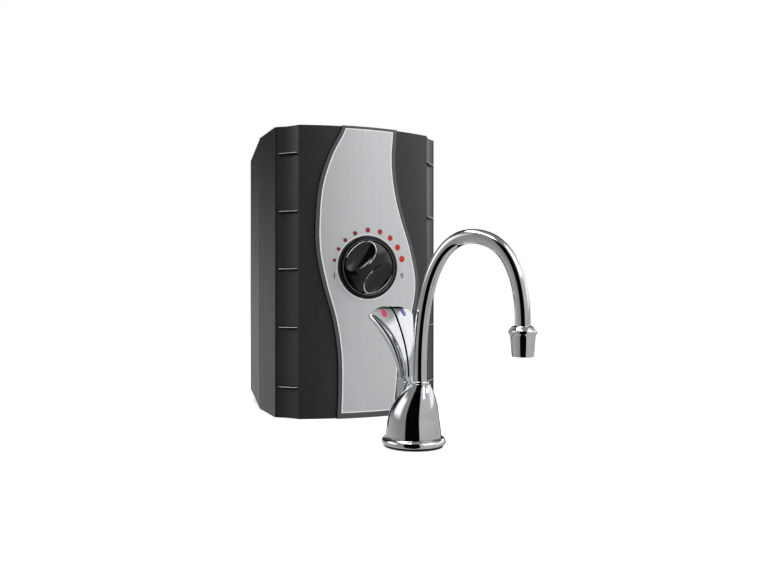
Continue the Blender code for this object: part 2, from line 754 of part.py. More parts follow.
def make_dial():
    place = (KNOB_X, BEZEL_BACK_Y, KNOB_Z)
    inner = BEZEL_RADIUS - BEZEL_RING
    hole = BUSH_RADIUS + GAP
    crown = BEZEL_DEPTH - KNOB_EDGE
    turned(
        "knob_bezel",
        [
            (hole, 0), (BEZEL_RADIUS, 0), (BEZEL_RADIUS, crown),
            (BEZEL_RADIUS - KNOB_EDGE, BEZEL_DEPTH), (inner, BEZEL_DEPTH),
            (inner, BEZEL_FLOOR), (hole, BEZEL_FLOOR),
        ],
        place, "-Y", GLOSS_BLACK,
    )
    make_knob()
    nut_y = BEZEL_BACK_Y - BEZEL_FLOOR - GAP
    nut = cylinder("thermostat_nut", NUT_RADIUS, (KNOB_X, nut_y, KNOB_Z), NUT_THICK, "-Y", ZINC, sides=6)
    bore = (KNOB_X, nut_y + OVERRUN, KNOB_Z)
    length = NUT_THICK + 2 * OVERRUN
    cut(nut, cylinder("nut_bore", BUSH_RADIUS + GAP, bore, length, "-Y", sides=SMALL_SIDES))


def make_knob():
    """A domed round knob with two scoops that leave a grip bar across it."""
    nut_room = NUT_THICK + 3 * GAP
    well = NUT_RADIUS + 2 * RUNNING
    shaft = SHAFT_RADIUS + GAP / 2
    depth = nut_room + SHAFT_IN_KNOB + GAP
    profile = [
        (0, depth), (shaft, depth), (shaft, nut_room), (well, nut_room), (well, 0),
        (KNOB_RADIUS, 0), (KNOB_RADIUS, KNOB_RIM - KNOB_EDGE / 3),
        (KNOB_RADIUS - KNOB_EDGE / 3, KNOB_RIM),
    ]
    dome = KNOB_DEPTH - KNOB_RIM
    for share in (0.90, 0.75, 0.60, 0.40, 0.20, 0.0):
        profile.append((KNOB_RADIUS * share, KNOB_RIM + dome * (1 - share**2)))
    place = (KNOB_X, KNOB_BACK_Y, KNOB_Z)
    knob = turned("dial_knob", profile, (0, 0, 0), "-Y", GLOSS_BLACK, sides=FINE_SIDES)
    knob.location = place
    across = Vector((-sin(KNOB_POINTS_TO), 0, cos(KNOB_POINTS_TO)))
    middle = GRIP_WIDTH / 2 + SCOOP_WIDTH
    height = KNOB_RIM + dome * (1 - (middle / KNOB_RADIUS) ** 2)
    lean = atan2(2 * dome * middle, KNOB_RADIUS**2)
    for side in (-1, 1):
        bm = bmesh.new()
        bmesh.ops.create_uvsphere(bm, u_segments=24, v_segments=12, radius=1.0)
        size = Matrix.Diagonal((SCOOP_LENGTH, SCOOP_DEPTH, SCOOP_WIDTH, 1))
        turn = Matrix.Rotation(-KNOB_POINTS_TO, 4, "Y") @ Matrix.Rotation(-side * lean, 4, "X")
        centre = Vector(place) + Vector((0, -height, 0)) + across * side * middle
        scoop = to_object(f"scoop_{side}", bm, None, place=Matrix.Translation(centre) @ turn @ size)
        inside = cylinder(
            f"scoop_limit_{side}", KNOB_RADIUS - KNOB_LIP, place, 2 * KNOB_DEPTH, "-Y", sides=FINE_SIDES
        )
        boolean(scoop, inside, "INTERSECT")
        cut(knob, scoop)


def make_thermostat():
    front = NOSE_Y + SHELL + GAP
    low = (KNOB_X - THERMOSTAT_WIDTH / 2, front, KNOB_Z - THERMOSTAT_HEIGHT / 2)
    high = (KNOB_X + THERMOSTAT_WIDTH / 2, front + THERMOSTAT_DEPTH, KNOB_Z + THERMOSTAT_HEIGHT / 2)
    # The case curves back beside the dial, so the block's front corners are planed to it.
    body = box("thermostat_body", low, high, WHITE_PLASTIC)
    shape = prism(
        "thermostat_limit", case_outline(SHELL + GAP, SEAM_Y), low[2] - OVERRUN, high[2] + OVERRUN
    )
    boolean(body, shape, "INTERSECT")
    bush_tip = BEZEL_BACK_Y - BEZEL_FLOOR - GAP - NUT_THICK
    start = (KNOB_X, front + THERMOSTAT_DEPTH / 2, KNOB_Z)
    length = start[1] - bush_tip
    join(body, cylinder("bush", BUSH_RADIUS, start, length, "-Y", sides=SMALL_SIDES))
    bore = (KNOB_X, front + THERMOSTAT_DEPTH / 2 + GAP, KNOB_Z)
    reach = length + OVERRUN
    cut(body, cylinder("bush_bore", SHAFT_RADIUS + RUNNING, bore, reach, "-Y", sides=SMALL_SIDES))
    for side in (-1, 1):
        x = KNOB_X + side * THERMOSTAT_WIDTH / 4
        blade = box(
            f"terminal_{side}",
            (x - TERMINAL_WIDTH / 2, high[1] - SINK * 4, KNOB_Z - TERMINAL_THICK / 2),
            (x + TERMINAL_WIDTH / 2, high[1] + TERMINAL_LENGTH, KNOB_Z + TERMINAL_THICK / 2),
        )
        join(body, blade)
    shaft_back = bore[1] - 2 * GAP
    knob_floor = KNOB_BACK_Y - NUT_THICK - 3 * GAP - SHAFT_IN_KNOB
    shaft = cylinder(
        "knob_shaft", SHAFT_RADIUS, (0, 0, 0), shaft_back - knob_floor, "-Y", ZINC, sides=SMALL_SIDES
    )
    shaft.location = (KNOB_X, shaft_back, KNOB_Z)


# Vessel and heater


def vessel_profile(grow):
    """Outer line of the vessel from its bottom port to its neck, as (radius, height)."""
    radius = VESSEL_RADIUS + grow
    low, high = VESSEL_LOW - grow, VESSEL_HIGH + grow
    rise = [(DRAIN_RADIUS + grow, low)]
    for i in range(1, VESSEL_DOME_STEPS + 1):
        angle = radians(90) * i / VESSEL_DOME_STEPS
        rise.append((radius - VESSEL_DOME * (1 - sin(angle)), low + VESSEL_DOME * (1 - cos(angle))))
    top = [(r, low + high - z) for r, z in reversed(rise)]
    top[-1] = (NECK_RADIUS + grow, high)
    return rise + top


def make_vessel():
    outer = vessel_profile(0)
    inner = vessel_profile(-VESSEL_WALL)
    drain_end = VESSEL_LOW - DRAIN_LENGTH
    neck_end = VESSEL_HIGH + NECK_HEIGHT
    outline = [
        (DRAIN_RADIUS - VESSEL_WALL, drain_end), (DRAIN_RADIUS, drain_end), *outer,
        (NECK_RADIUS, neck_end), (NECK_RADIUS - VESSEL_WALL, neck_end), *reversed(inner),
    ]
    vessel = turned("tank_vessel", outline, (0, VESSEL_Y, 0), "Z", STAINLESS, sides=VESSEL_SIDES)
    front = VESSEL_Y - VESSEL_RADIUS
    root = front + HEATER_BOSS_PROUD
    boss = cylinder(
        "heater_boss", HEATER_BOSS_RADIUS, (0, root, HEATER_Z), 2 * HEATER_BOSS_PROUD, "-Y"
    )
    bore = cylinder(
        "heater_bore", HEATER_BOSS_BORE, (0, root + OVERRUN, HEATER_Z),
        2 * (HEATER_BOSS_PROUD + OVERRUN), "-Y",
    )
    outline = [(0, VESSEL_LOW), *inner[1:-1], (0, VESSEL_HIGH)]
    hollow = turned("vessel_hollow", outline, (0, VESSEL_Y, 0), sides=VESSEL_SIDES)
    cut(boss, hollow)
    join(vessel, boss)
    cut(vessel, bore)


def make_heater():
    seat = VESSEL_Y - VESSEL_RADIUS - HEATER_BOSS_PROUD - GAP
    turned(
        "element_gasket",
        [
            (HEATER_BOSS_BORE, 0), (HEATER_BOSS_RADIUS, 0),
            (HEATER_BOSS_RADIUS, GASKET_THICK), (HEATER_BOSS_BORE, GASKET_THICK),
        ],
        (0, seat, HEATER_Z), "-Y", RUBBER,
    )
    flange_back = seat - GASKET_THICK - GAP
    flange = cylinder(
        "element_flange", HEATER_BOSS_RADIUS, (0, flange_back, HEATER_Z), FLANGE_THICK, "-Y", BRASS
    )
    for side in (-1, 1):
        start = (side * ELEMENT_SPREAD, flange_back - FLANGE_THICK + SINK * 2, HEATER_Z)
        post = cylinder(
            f"post_{side}", TERMINAL_POST_RADIUS, start, TERMINAL_POST_LENGTH, "-Y", sides=SMALL_SIDES
        )
        join(flange, post)
    start_y = flange_back + GAP
    turn_y = start_y + ELEMENT_LENGTH
    middle_y = start_y + ELEMENT_LENGTH / 2
    points = [(-ELEMENT_SPREAD, start_y, HEATER_Z), (-ELEMENT_SPREAD, middle_y, HEATER_Z)]
    for i in range(13):
        angle = pi * i / 12
        x = -ELEMENT_SPREAD * cos(angle)
        points.append((x, turn_y - ELEMENT_SPREAD + ELEMENT_SPREAD * sin(angle), HEATER_Z))
    points += [(ELEMENT_SPREAD, middle_y, HEATER_Z), (ELEMENT_SPREAD, start_y, HEATER_Z)]
    tube("heating_element", points, ELEMENT_RADIUS, HEATER)


def vessel_cutter(name, grow):
    """The vessel with its ports as one solid, larger by grow."""
    line = vessel_profile(grow)
    low, high = VESSEL_LOW - DRAIN_LENGTH - OVERRUN, VESSEL_HIGH + NECK_HEIGHT + OVERRUN
    outline = [(0, low), (line[0][0], low), *line, (line[-1][0], high), (0, high)]
    return turned(name, outline, (0, VESSEL_Y, 0), sides=VESSEL_SIDES)


def make_cutout():
    """Resettable over-temperature cut-out, its back shaped to the vessel."""
    front = VESSEL_Y - VESSEL_RADIUS
    start = (0, front + GAP, CUTOUT_Z)
    disc = cylinder("thermal_cutout", CUTOUT_RADIUS, start, CUTOUT_DEPTH, "-Y", GLOSS_BLACK)
    cut(disc, vessel_cutter("cutout_seat", GAP))


def make_sensor():
    """Sensor bulb beside the vessel, with its capillary up to the thermostat."""
    off = VESSEL_RADIUS + GAP + BULB_RADIUS
    x, y = off * cos(BULB_ANGLE), VESSEL_Y + off * sin(BULB_ANGLE)
    place = (x, y, BULB_LOW_Z)
    bulb = cylinder("sensor_bulb", BULB_RADIUS, place, BULB_LENGTH, "Z", BRASS, sides=12)
    end = (KNOB_X - THERMOSTAT_WIDTH / 4, NOSE_Y + SHELL + THERMOSTAT_DEPTH * CAPILLARY_END_SHARE)
    top = KNOB_Z - THERMOSTAT_HEIGHT / 2 - 2 * GAP
    rise = BULB_LOW_Z + BULB_LENGTH
    points = []
    for i in range(13):
        share = i / 12
        ease = share * share * (3 - 2 * share)
        height = rise - SINK * 4 + (top - rise + SINK * 4) * share
        points.append((x + (end[0] - x) * ease, y + (end[1] - y) * ease, height))
    join(bulb, tube("capillary", points, CAPILLARY_RADIUS, resolution=1))


def make_foam():
    """Two foam halves round the vessel, with rooms for what sits before it."""
    inset = SHELL + FOAM_CLEAR
    front = prism(
        "foam_front", case_outline(inset, SEAM_Y - GAP), FOAM_LOW, VESSEL_HIGH, material=FOAM
    )
    rear = rear_block(
        "foam_rear", inset, SEAM_Y + GAP, REAR_Y - inset, FOAM, low=FOAM_LOW, high=VESSEL_HIGH
    )
    cut(front, vessel_cutter("foam_front_core", FOAM_CLEAR))
    cut(rear, vessel_cutter("foam_rear_core", FOAM_CLEAR))
    half = THERMOSTAT_WIDTH / 2 + abs(KNOB_X) + 2 * FOAM_CLEAR
    room = box(
        "thermostat_room",
        (KNOB_X - half, NOSE_Y - OVERRUN, HEATER_Z - HEATER_BOSS_RADIUS - 2 * FOAM_CLEAR),
        (KNOB_X + half, VESSEL_Y, CUTOUT_Z + CUTOUT_RADIUS + 2 * FOAM_CLEAR),
    )
    room_y = NOSE_Y + SHELL + THERMOSTAT_DEPTH * BULB_ROOM_DEPTH_SHARE
    bulb_room = box(
        "bulb_room",
        (-VESSEL_RADIUS * BULB_ROOM_WIDTH_SHARE, room_y, BULB_LOW_Z - 2 * FOAM_CLEAR),
        (KNOB_X, VESSEL_Y, KNOB_Z),
    )
    cut(front, room, bulb_room)
    for end, x, _, direction in screw_places():
        if direction == "down":
            continue
        for part in (front, rear):
            tab_room = box(
                f"tab_room_{end}_{part.name}",
                (x - TAB_WIDTH / 2 - FOAM_CLEAR, SEAM_Y - TAB_REACH - FOAM_CLEAR, 0),
                (
                    x + TAB_WIDTH / 2 + FOAM_CLEAR,
                    SEAM_Y + TAB_REACH / 2 + FOAM_CLEAR,
                    SHELL + TAB_THICK + SCREW_LENGTH / 2,
                ),
            )
            cut(part, tab_room)
    low = (0, VESSEL_Y, -OVERRUN)
    depth = VESSEL_LOW + OVERRUN
    room = cylinder("drain_room", PLUG_HEAD_RADIUS + 2 * FOAM_CLEAR, low, depth, sides=SMALL_SIDES)
    cut(front, room)
    cut(rear, room)
    gland = (GLAND_X, REAR_Y + OVERRUN, GLAND_Z)
    cut(rear, cylinder("gland_room", GLAND_RADIUS + FOAM_CLEAR, gland, GLAND_ROOM_DEPTH + OVERRUN, "-Y"))
    for side in (-1, 1):
        start = (side * BRACKET_SCREW_X, REAR_Y, BRACKET_Z)
        depth = SCREW_LENGTH + OVERRUN
        cut(rear, cylinder("bracket_room", 2 * SCREW_RADIUS, start, depth, "-Y", sides=SMALL_SIDES))


# Ports


def stub_places():
    return (("hot_outlet", -STUB_SPACING), ("vent", 0.0), ("cold_inlet", STUB_SPACING))


def make_ports():
    low = VESSEL_HIGH + NECK_HEIGHT + GAP
    high = POCKET_FLOOR_Z - SHELL - GAP
    wall, radius = CHAMBER_WALL, CHAMBER_RADIUS
    hole = NECK_RADIUS - VESSEL_WALL
    chamber = turned(
        "expansion_chamber",
        [
            (hole, low), (radius, low), (radius, high), (0, high), (0, high - wall),
            (radius - wall, high - wall), (radius - wall, low + wall), (hole, low + wall),
        ],
        (0, VESSEL_Y, 0), "Z", WHITE_PLASTIC,
    )
    for name, x in stub_places():
        foot = high - 2 * wall
        start = (x, STUB_Y, foot - OVERRUN)
        bore = cylinder(
            f"{name}_socket", STUB_RADIUS + GAP, start, 2 * wall + 2 * OVERRUN, sides=SMALL_SIDES
        )
        cut(chamber, bore)
        barbs = []
        for number in range(2):
            top = STUB_TOP_Z - BARB_PITCH * number
            barbs += [
                (STUB_RADIUS, top),
                (STUB_RADIUS + BARB_PROUD, top - BARB_PITCH * BARB_LENGTH_SHARE),
                (STUB_RADIUS, top - BARB_PITCH * BARB_END_SHARE),
            ]
        turned(
            f"{name}_stub",
            [(STUB_BORE, STUB_TOP_Z), *barbs, (STUB_RADIUS, foot), (STUB_BORE, foot)],
            (x, STUB_Y, 0), "Z", WHITE_PLASTIC, sides=SMALL_SIDES,
        )
        bore = STUB_RADIUS + GAP
        body = bore + GROMMET_WALL
        lip = body + GROMMET_LIP
        floor = POCKET_FLOOR_Z + GAP
        turned(
            f"{name}_grommet",
            [
                (bore, high + GAP), (body, high + GAP), (body, floor), (lip, floor),
                (lip, floor + GROMMET_LIP), (bore, floor + GROMMET_LIP),
            ],
            (x, STUB_Y, 0), "Z", RUBBER, sides=SMALL_SIDES,
        )


def make_drain():
    seat = VESSEL_LOW - DRAIN_LENGTH - GAP
    low = seat - 2 * SEAL_WIRE
    hole, rim = PLUG_SHANK + GAP, DRAIN_RADIUS - GAP
    turned(
        "drain_seal", [(hole, low), (rim, low), (rim, seat), (hole, seat)],
        (0, VESSEL_Y, 0), "Z", RUBBER, sides=SMALL_SIDES,
    )
    head_top = low - GAP
    head = (0, VESSEL_Y, head_top - PLUG_HEAD)
    plug = cylinder("drain_plug", PLUG_HEAD_RADIUS, head, PLUG_HEAD, "Z", BRASS, sides=6)
    start = (0, VESSEL_Y, head_top - SINK * 2)
    stem = cylinder("plug_shank", PLUG_SHANK, start, PLUG_LENGTH, sides=SMALL_SIDES)
    join(plug, stem)


# Rear fittings


def make_bracket():
    """A hat-shaped wall bracket: its web lies on the case and its lips on the wall."""
    near = REAR_Y + GAP
    far = near + BRACKET_DEPTH
    metal, half, lip = BRACKET_METAL, BRACKET_HEIGHT / 2, BRACKET_LIP
    upper = [
        (near, half), (far - metal, half), (far - metal, half + lip), (far, half + lip),
        (far, half - metal), (near + metal, half - metal),
    ]
    outline = [(y, BRACKET_Z + z) for y, z in upper]
    outline += [(y, BRACKET_Z - z) for y, z in reversed(upper)]
    bracket = prism(
        "wall_bracket", outline, -BRACKET_WIDTH / 2, BRACKET_WIDTH / 2, "YZ", ZINC
    )
    for side in (-1, 1):
        start = (side * BRACKET_SCREW_X, near - OVERRUN, BRACKET_Z)
        depth = 2 * OVERRUN + metal
        cut(bracket, cylinder("web_hole", SCREW_RADIUS + GAP, start, depth, "Y", sides=SMALL_SIDES))
        for end in (-1, 1):
            z = BRACKET_Z + end * (half + lip / 2)
            start = (side * WALL_HOLE_X, far - metal - OVERRUN, z)
            cut(bracket, cylinder("lip_hole", WALL_HOLE_RADIUS, start, depth, "Y", sides=SMALL_SIDES))
        head = near + metal + GAP
        name = "left" if side < 0 else "right"
        length = metal + SHELL + SCREW_LENGTH / 2
        profile = [
            (0, -SCREW_HEAD), (SCREW_HEAD_RADIUS, -SCREW_HEAD), (SCREW_HEAD_RADIUS, 0),
            (SCREW_RADIUS, 0), (SCREW_RADIUS, length - SCREW_RADIUS), (0, length),
        ]
        turned(
            f"bracket_screw_{name}", profile, (side * BRACKET_SCREW_X, head, BRACKET_Z), "-Y", ZINC,
            sides=SMALL_SIDES,
        )


def make_gland():
    """Gland that holds the power cord where it enters the case."""
    seat = REAR_Y + GAP
    inner = REAR_Y - SHELL - SCREW_LENGTH / 2
    profile = [
        (GLAND_BORE, inner), (GLAND_NECK, inner), (GLAND_NECK, seat), (GLAND_RADIUS, seat),
        (GLAND_RADIUS, seat + GLAND_PROUD / 2), (GLAND_NECK, seat + GLAND_PROUD),
        (GLAND_BORE, seat + GLAND_PROUD),
    ]
    turned("cord_gland", profile, (GLAND_X, 0, GLAND_Z), "Y", RUBBER, sides=SMALL_SIDES)


# Faucet


def make_faucet_frame():
    frame = bpy.data.objects.new("faucet_frame", None)
    PARTS.objects.link(frame)
    frame.location = (FAUCET_X, FAUCET_Y, 0)
    frame.rotation_euler = (0, 0, SPOUT_HEADING)
    return frame


def lean(height):
    """How far the bell's middle has moved towards the spout at a height."""
    share = max((height - BELL_LEAN_FROM) / (BELL_TOP - BELL_LEAN_FROM), 0.0)
    return SPOUT_OFFSET * share**1.5


def bell_radius(height):
    share = (height - BELL_BOTTOM) / (BELL_TOP - BELL_BOTTOM)
    return BELL_FOOT_RADIUS * read_shares(BELL_SHARES, share)


def lean_over(obj):
    for vertex in obj.data.vertices:
        vertex.co.x += lean(vertex.co.z)


def make_base(frame):
    turned(
        "base_seal",
        [(SEAL_BORE, 0), (SEAL_RADIUS, 0), (SEAL_RADIUS, SEAL_THICK), (SEAL_BORE, SEAL_THICK)],
        material=RUBBER, parent=frame,
    )
    low = SEAL_THICK + GAP
    edge = (FLANGE_TOP - low) / 5
    turned(
        "base_flange",
        [
            (FLANGE_BORE, low), (FLANGE_RADIUS - edge, low), (FLANGE_RADIUS, low + edge),
            (FLANGE_RADIUS, low + 3 * edge), (FLANGE_RADIUS - edge / 2, low + 4 * edge),
            (FLANGE_RADIUS - FLANGE_GROOVE, FLANGE_TOP), (FLANGE_BORE, FLANGE_TOP),
        ],
        material=CHROME, parent=frame, sides=FINE_SIDES,
    )


def make_bell(frame):
    rows = 9
    heights = [BELL_BOTTOM + (BELL_TOP - BELL_BOTTOM) * i / rows for i in range(rows + 1)]
    outer = [(bell_radius(z), z) for z in heights]
    outline = [(0, BELL_BOTTOM), *outer, (0, BELL_TOP)]
    bell = turned("faucet_body", outline, material=CHROME, parent=frame)
    lean_over(bell)
    rows = 5
    heights = [BELL_BOTTOM + (BELL_CEILING - BELL_BOTTOM) * i / rows for i in range(rows + 1)]
    inner = [(bell_radius(z) - BELL_WALL, z) for z in heights]
    below = BELL_BOTTOM - OVERRUN
    outline = [(0, below), (inner[0][0], below), *inner, (0, BELL_CEILING)]
    hollow = turned("bell_hollow", outline, parent=frame, sides=HOLLOW_SIDES)
    lean_over(hollow)
    cut(bell, hollow)
    neck = (TUBE_AXIS_X, 0, BELL_CEILING - OVERRUN)
    length = BELL_TOP - BELL_CEILING + 2 * OVERRUN
    cut(bell, cylinder("neck_bore", BUSH_OUTER + GAP, neck, length, parent=frame))
    pocket = box(
        "lever_pocket", (-POCKET_BACK, -POCKET_HALF, POCKET_FLOOR),
        (-POCKET_FRONT, POCKET_HALF, BELL_TOP + OVERRUN), parent=frame,
    )
    cut(bell, pocket)
    start = (PIVOT_X, -PIN_HALF_LENGTH - GAP, PIVOT_Z)
    length = 2 * (PIN_HALF_LENGTH + GAP)
    hole = PIN_RADIUS + GAP
    cut(bell, cylinder("pin_hole", hole, start, length, "Y", parent=frame, sides=SMALL_SIDES))
    start = (PIVOT_X, -PIN_HALF_LENGTH, PIVOT_Z)
    length = 2 * PIN_HALF_LENGTH
    cylinder("lever_pivot_pin", PIN_RADIUS, start, length, "Y", ZINC, frame, SMALL_SIDES)


def make_valve_block(frame):
    low = SEAL_THICK + GAP
    block = cylinder("valve_block", BLOCK_RADIUS, (0, 0, low), BLOCK_SHOULDER - low, "Z", BRASS, frame)
    start = (BLOCK_UPPER_X, 0, BLOCK_SHOULDER - OVERRUN)
    length = BLOCK_TOP - BLOCK_SHOULDER + OVERRUN
    join(block, cylinder("block_upper", BLOCK_UPPER_RADIUS, start, length, parent=frame))
    start = (TUBE_AXIS_X, 0, BLOCK_SHOULDER - OVERRUN)
    length = BLOCK_TOP - BLOCK_SHOULDER + 2 * OVERRUN
    cut(block, cylinder("waterway", WATERWAY_RADIUS, start, length, parent=frame, sides=SMALL_SIDES))
    for number in range(3):
        angle = tau * number / 3
        start = (INLET_CIRCLE * cos(angle), INLET_CIRCLE * sin(angle), low - OVERRUN)
        length = INLET_DEPTH + OVERRUN
        inlet = cylinder(f"inlet_{number}", INLET_RADIUS, start, length, parent=frame, sides=SMALL_SIDES)
        cut(block, inlet)
    stem_end = stem_head_x() + STEM_HEAD + STEM_LENGTH
    for side in (-1, 1):
        start = (-BLOCK_RADIUS, side * STEM_Y, STEM_Z)
        length = BLOCK_RADIUS + STEM_WELL_FLOOR_X
        radius = STEM_WELL_RADIUS
        well = cylinder(f"well_{side}", radius, start, length, "X", parent=frame, sides=SMALL_SIDES)
        start = (0, side * STEM_Y, STEM_Z)
        length = stem_end + STEM_TRAVEL_ROOM
        radius = STEM_RADIUS + RUNNING
        bore = cylinder(f"bore_{side}", radius, start, length, "X", parent=frame, sides=SMALL_SIDES)
        cut(block, well, bore)


def stem_head_x():
    """Where a stem's head begins: just ahead of its lever's toe."""
    return -LEVER_FOOT_BACK + TOE_THICK + RUNNING


def make_stems(frame):
    for name, side in (("hot", -1), ("cold", 1)):
        profile = [
            (0, 0), (STEM_HEAD_RADIUS, 0), (STEM_HEAD_RADIUS, STEM_HEAD), (STEM_RADIUS, STEM_HEAD),
            (STEM_RADIUS, STEM_HEAD + STEM_LENGTH), (0, STEM_HEAD + STEM_LENGTH),
        ]
        stem = turned(f"{name}_valve_stem", profile, (0, 0, 0), "X", BRASS, frame, SMALL_SIDES)
        stem.location = (stem_head_x(), side * STEM_Y, STEM_Z)
    start = stem_head_x() + STEM_HEAD + GAP + SPRING_WIRE
    end = STEM_WELL_FLOOR_X - GAP - SPRING_WIRE
    steps = SPRING_TURNS * POINTS_PER_TURN
    points = []
    for i in range(steps + 1):
        angle = tau * i / POINTS_PER_TURN
        x = start + (end - start) * i / steps
        points.append((x, SPRING_RADIUS * cos(angle) - STEM_Y, STEM_Z + SPRING_RADIUS * sin(angle)))
    tube("hot_return_spring", points, SPRING_WIRE, ZINC, frame, resolution=1)


def make_swivel(frame):
    inner = TUBE_RADIUS + RUNNING
    profile = [(inner, BUSH_LOW), (BUSH_OUTER, BUSH_LOW), (BUSH_OUTER, BELL_TOP), (inner, BELL_TOP)]
    turned("swivel_bush", profile, (TUBE_AXIS_X, 0, 0), material=WHITE_PLASTIC, parent=frame)
    low = BELL_TOP + GAP
    high = low + COLLAR_HEIGHT
    edge = COLLAR_HEIGHT / 3
    profile = [
        (inner, low), (COLLAR_RADIUS, low), (COLLAR_RADIUS, high - edge),
        (COLLAR_RADIUS - edge, high), (inner, high),
    ]
    turned("neck_collar", profile, (TUBE_AXIS_X, 0, 0), material=CHROME, parent=frame)


def bezier(a, b, c, d, count):
    """Points of a cubic stretch, without its last point."""
    points = []
    for i in range(count):
        t = i / count
        points.append(a * (1 - t) ** 3 + b * 3 * t * (1 - t) ** 2 + c * 3 * t * t * (1 - t) + d * t**3)
    return points


def spout_line(foot_z, end_z):
    """The spout's middle line from the swivel, up over the arch and down to the nozzle."""
    rise = Vector((0, 0, ARCH_Z - STRAIGHT_TO)) * RISE_HANDLE_SHARE
    flat = Vector((ARCH_X, 0, 0)) * ARCH_HANDLE_SHARE
    fall = Vector((0, 0, ARCH_Z - TUBE_END_Z)) * FALL_HANDLE_SHARE
    root = Vector((0, 0, STRAIGHT_TO))
    top = Vector((ARCH_X, 0, ARCH_Z))
    end = Vector((REACH, 0, TUBE_END_Z))
    points = [Vector((0, 0, foot_z))]
    points += bezier(root, root + rise, top - flat, top, 11)
    points += bezier(top, top + flat, end + fall, end, 9)
    points += [end, Vector((REACH, 0, end_z))]
    return points


def make_spout(frame):
    end = TUBE_END_Z - NOZZLE_LAP
    line = spout_line(TUBE_FOOT_Z, end)
    spout = tube("spout_tube", line, TUBE_RADIUS, CHROME, frame, resolution=4)
    spout.location = (TUBE_AXIS_X, 0, 0)
    line = spout_line(TUBE_FOOT_Z - OVERRUN, end - OVERRUN)
    bore = tube("spout_bore", line, TUBE_BORE, None, frame)
    bore.location = (TUBE_AXIS_X, 0, 0)
    cut(spout, bore)
    top, low = TUBE_END_Z, TUBE_END_Z - NOZZLE_HEIGHT
    ring = low + NOZZLE_HEIGHT * NOZZLE_COLLAR_SHARE
    step = NOZZLE_HEIGHT * (1 - NOZZLE_COLLAR_SHARE)
    inside = NOZZLE_END_RADIUS - NOZZLE_WALL
    ledge = end - GAP
    profile = [
        (TUBE_RADIUS + GAP, top), (NOZZLE_TOP_RADIUS, top),
        (NOZZLE_TOP_RADIUS + step / 8, top - step / 5),
        (NOZZLE_TOP_RADIUS + step / 3, ring + step / 2), (NOZZLE_COLLAR_RADIUS, ring + step / 6),
        (NOZZLE_COLLAR_RADIUS, ring - step / 6), (NOZZLE_COLLAR_RADIUS - step / 6, ring - step / 2),
        ((2 * NOZZLE_COLLAR_RADIUS + NOZZLE_END_RADIUS) / 3, (2 * ring + low) / 3),
        ((NOZZLE_COLLAR_RADIUS + 2 * NOZZLE_END_RADIUS) / 3, (ring + 2 * low) / 3),
        (NOZZLE_END_RADIUS, low), (inside, low),
        (inside, ledge - GAP), (TUBE_BORE, ledge - GAP), (TUBE_BORE, ledge), (TUBE_RADIUS + GAP, ledge),
    ]
    nozzle = turned("nozzle_shell", profile, (0, 0, 0), "Z", CHROME, frame)
    nozzle.location = (TUBE_AXIS_X + REACH, 0, 0)
    disc = cylinder(
        "nozzle_insert", inside - GAP, (0, 0, low + GAP), INSERT_HEIGHT,
        material=GLOSS_BLACK, parent=frame,
    )
    disc.location = (TUBE_AXIS_X + REACH, 0, 0)
    for number in range(INSERT_HOLES):
        angle = tau * number / INSERT_HOLES
        start = (
            TUBE_AXIS_X + REACH + INSERT_HOLE_CIRCLE * cos(angle),
            INSERT_HOLE_CIRCLE * sin(angle),
            low - OVERRUN,
        )
        length = INSERT_HEIGHT + 2 * OVERRUN
        cut(disc, cylinder(f"jet_{number}", INSERT_HOLE_RADIUS, start, length, parent=frame, sides=8))


# Levers


def blade_point(across, up, side):
    """A point of a blade's front: across from the slit to its outer edge, up from root to tip."""
    rise = max(up, 0.0) * (1 - BLADE_CORNER_SHARE * abs(across) ** 2.5)
    angle_share = asin(min(rise, 1.0)) / (pi / 2)
    z = BLADE_START_Z + BLADE_HEIGHT * rise
    width = BLADE_ROOT_WIDTH + (BLADE_TIP_WIDTH - BLADE_ROOT_WIDTH) * rise**BLADE_SPREAD_POWER
    y = LEVER_SPLIT + (width - LEVER_SPLIT) * across
    even, root = BLADE_EVEN_LEAN_SHARE, BLADE_ROOT_SWEEP_SHARE
    back = BLADE_LEAN * (even * rise**2 + (1 - even) * angle_share**BLADE_CURL_POWER)
    sweep = BLADE_SWEEP * across**2 * (root + (1 - root) * rise)
    return Vector((BLADE_ROOT_X - back - sweep, side * y, z))


def blade_normal(across, up, side, step=0.01):
    """Unit vector out of the blade's front, found a small share to each side of the point."""
    du = blade_point(across + step, up, side) - blade_point(across - step, up, side)
    dv = blade_point(across, up + step, side) - blade_point(across, up - step, side)
    normal = du.cross(dv).normalized()
    return normal if normal.x > 0 else -normal


def make_blade(name, side, frame):
    bm = bmesh.new()
    fronts, backs = [], []
    for row in range(BLADE_ROWS + 1):
        front, rear = [], []
        for column in range(BLADE_COLUMNS + 1):
            across, up = column / BLADE_COLUMNS, sin(pi / 2 * row / BLADE_ROWS)
            point = blade_point(across, up, side)
            inward = blade_normal(across, min(up, BLADE_NORMAL_TO_SHARE), side) * BLADE_THICK
            inward.y = 0
            front.append(bm.verts.new(point))
            rear.append(bm.verts.new(point - inward))
        fronts.append(front)
        backs.append(rear)
    for sheet in (fronts, backs):
        for low, high in zip(sheet, sheet[1:]):
            for i in range(BLADE_COLUMNS):
                bm.faces.new((low[i], low[i + 1], high[i + 1], high[i]))
    for line in (0, BLADE_ROWS):
        for i in range(BLADE_COLUMNS):
            bm.faces.new((fronts[line][i], fronts[line][i + 1], backs[line][i + 1], backs[line][i]))
    for line in (0, BLADE_COLUMNS):
        for i in range(BLADE_ROWS):
            bm.faces.new((fronts[i][line], fronts[i + 1][line], backs[i + 1][line], backs[i][line]))
    return to_object(name, bm, None, frame)


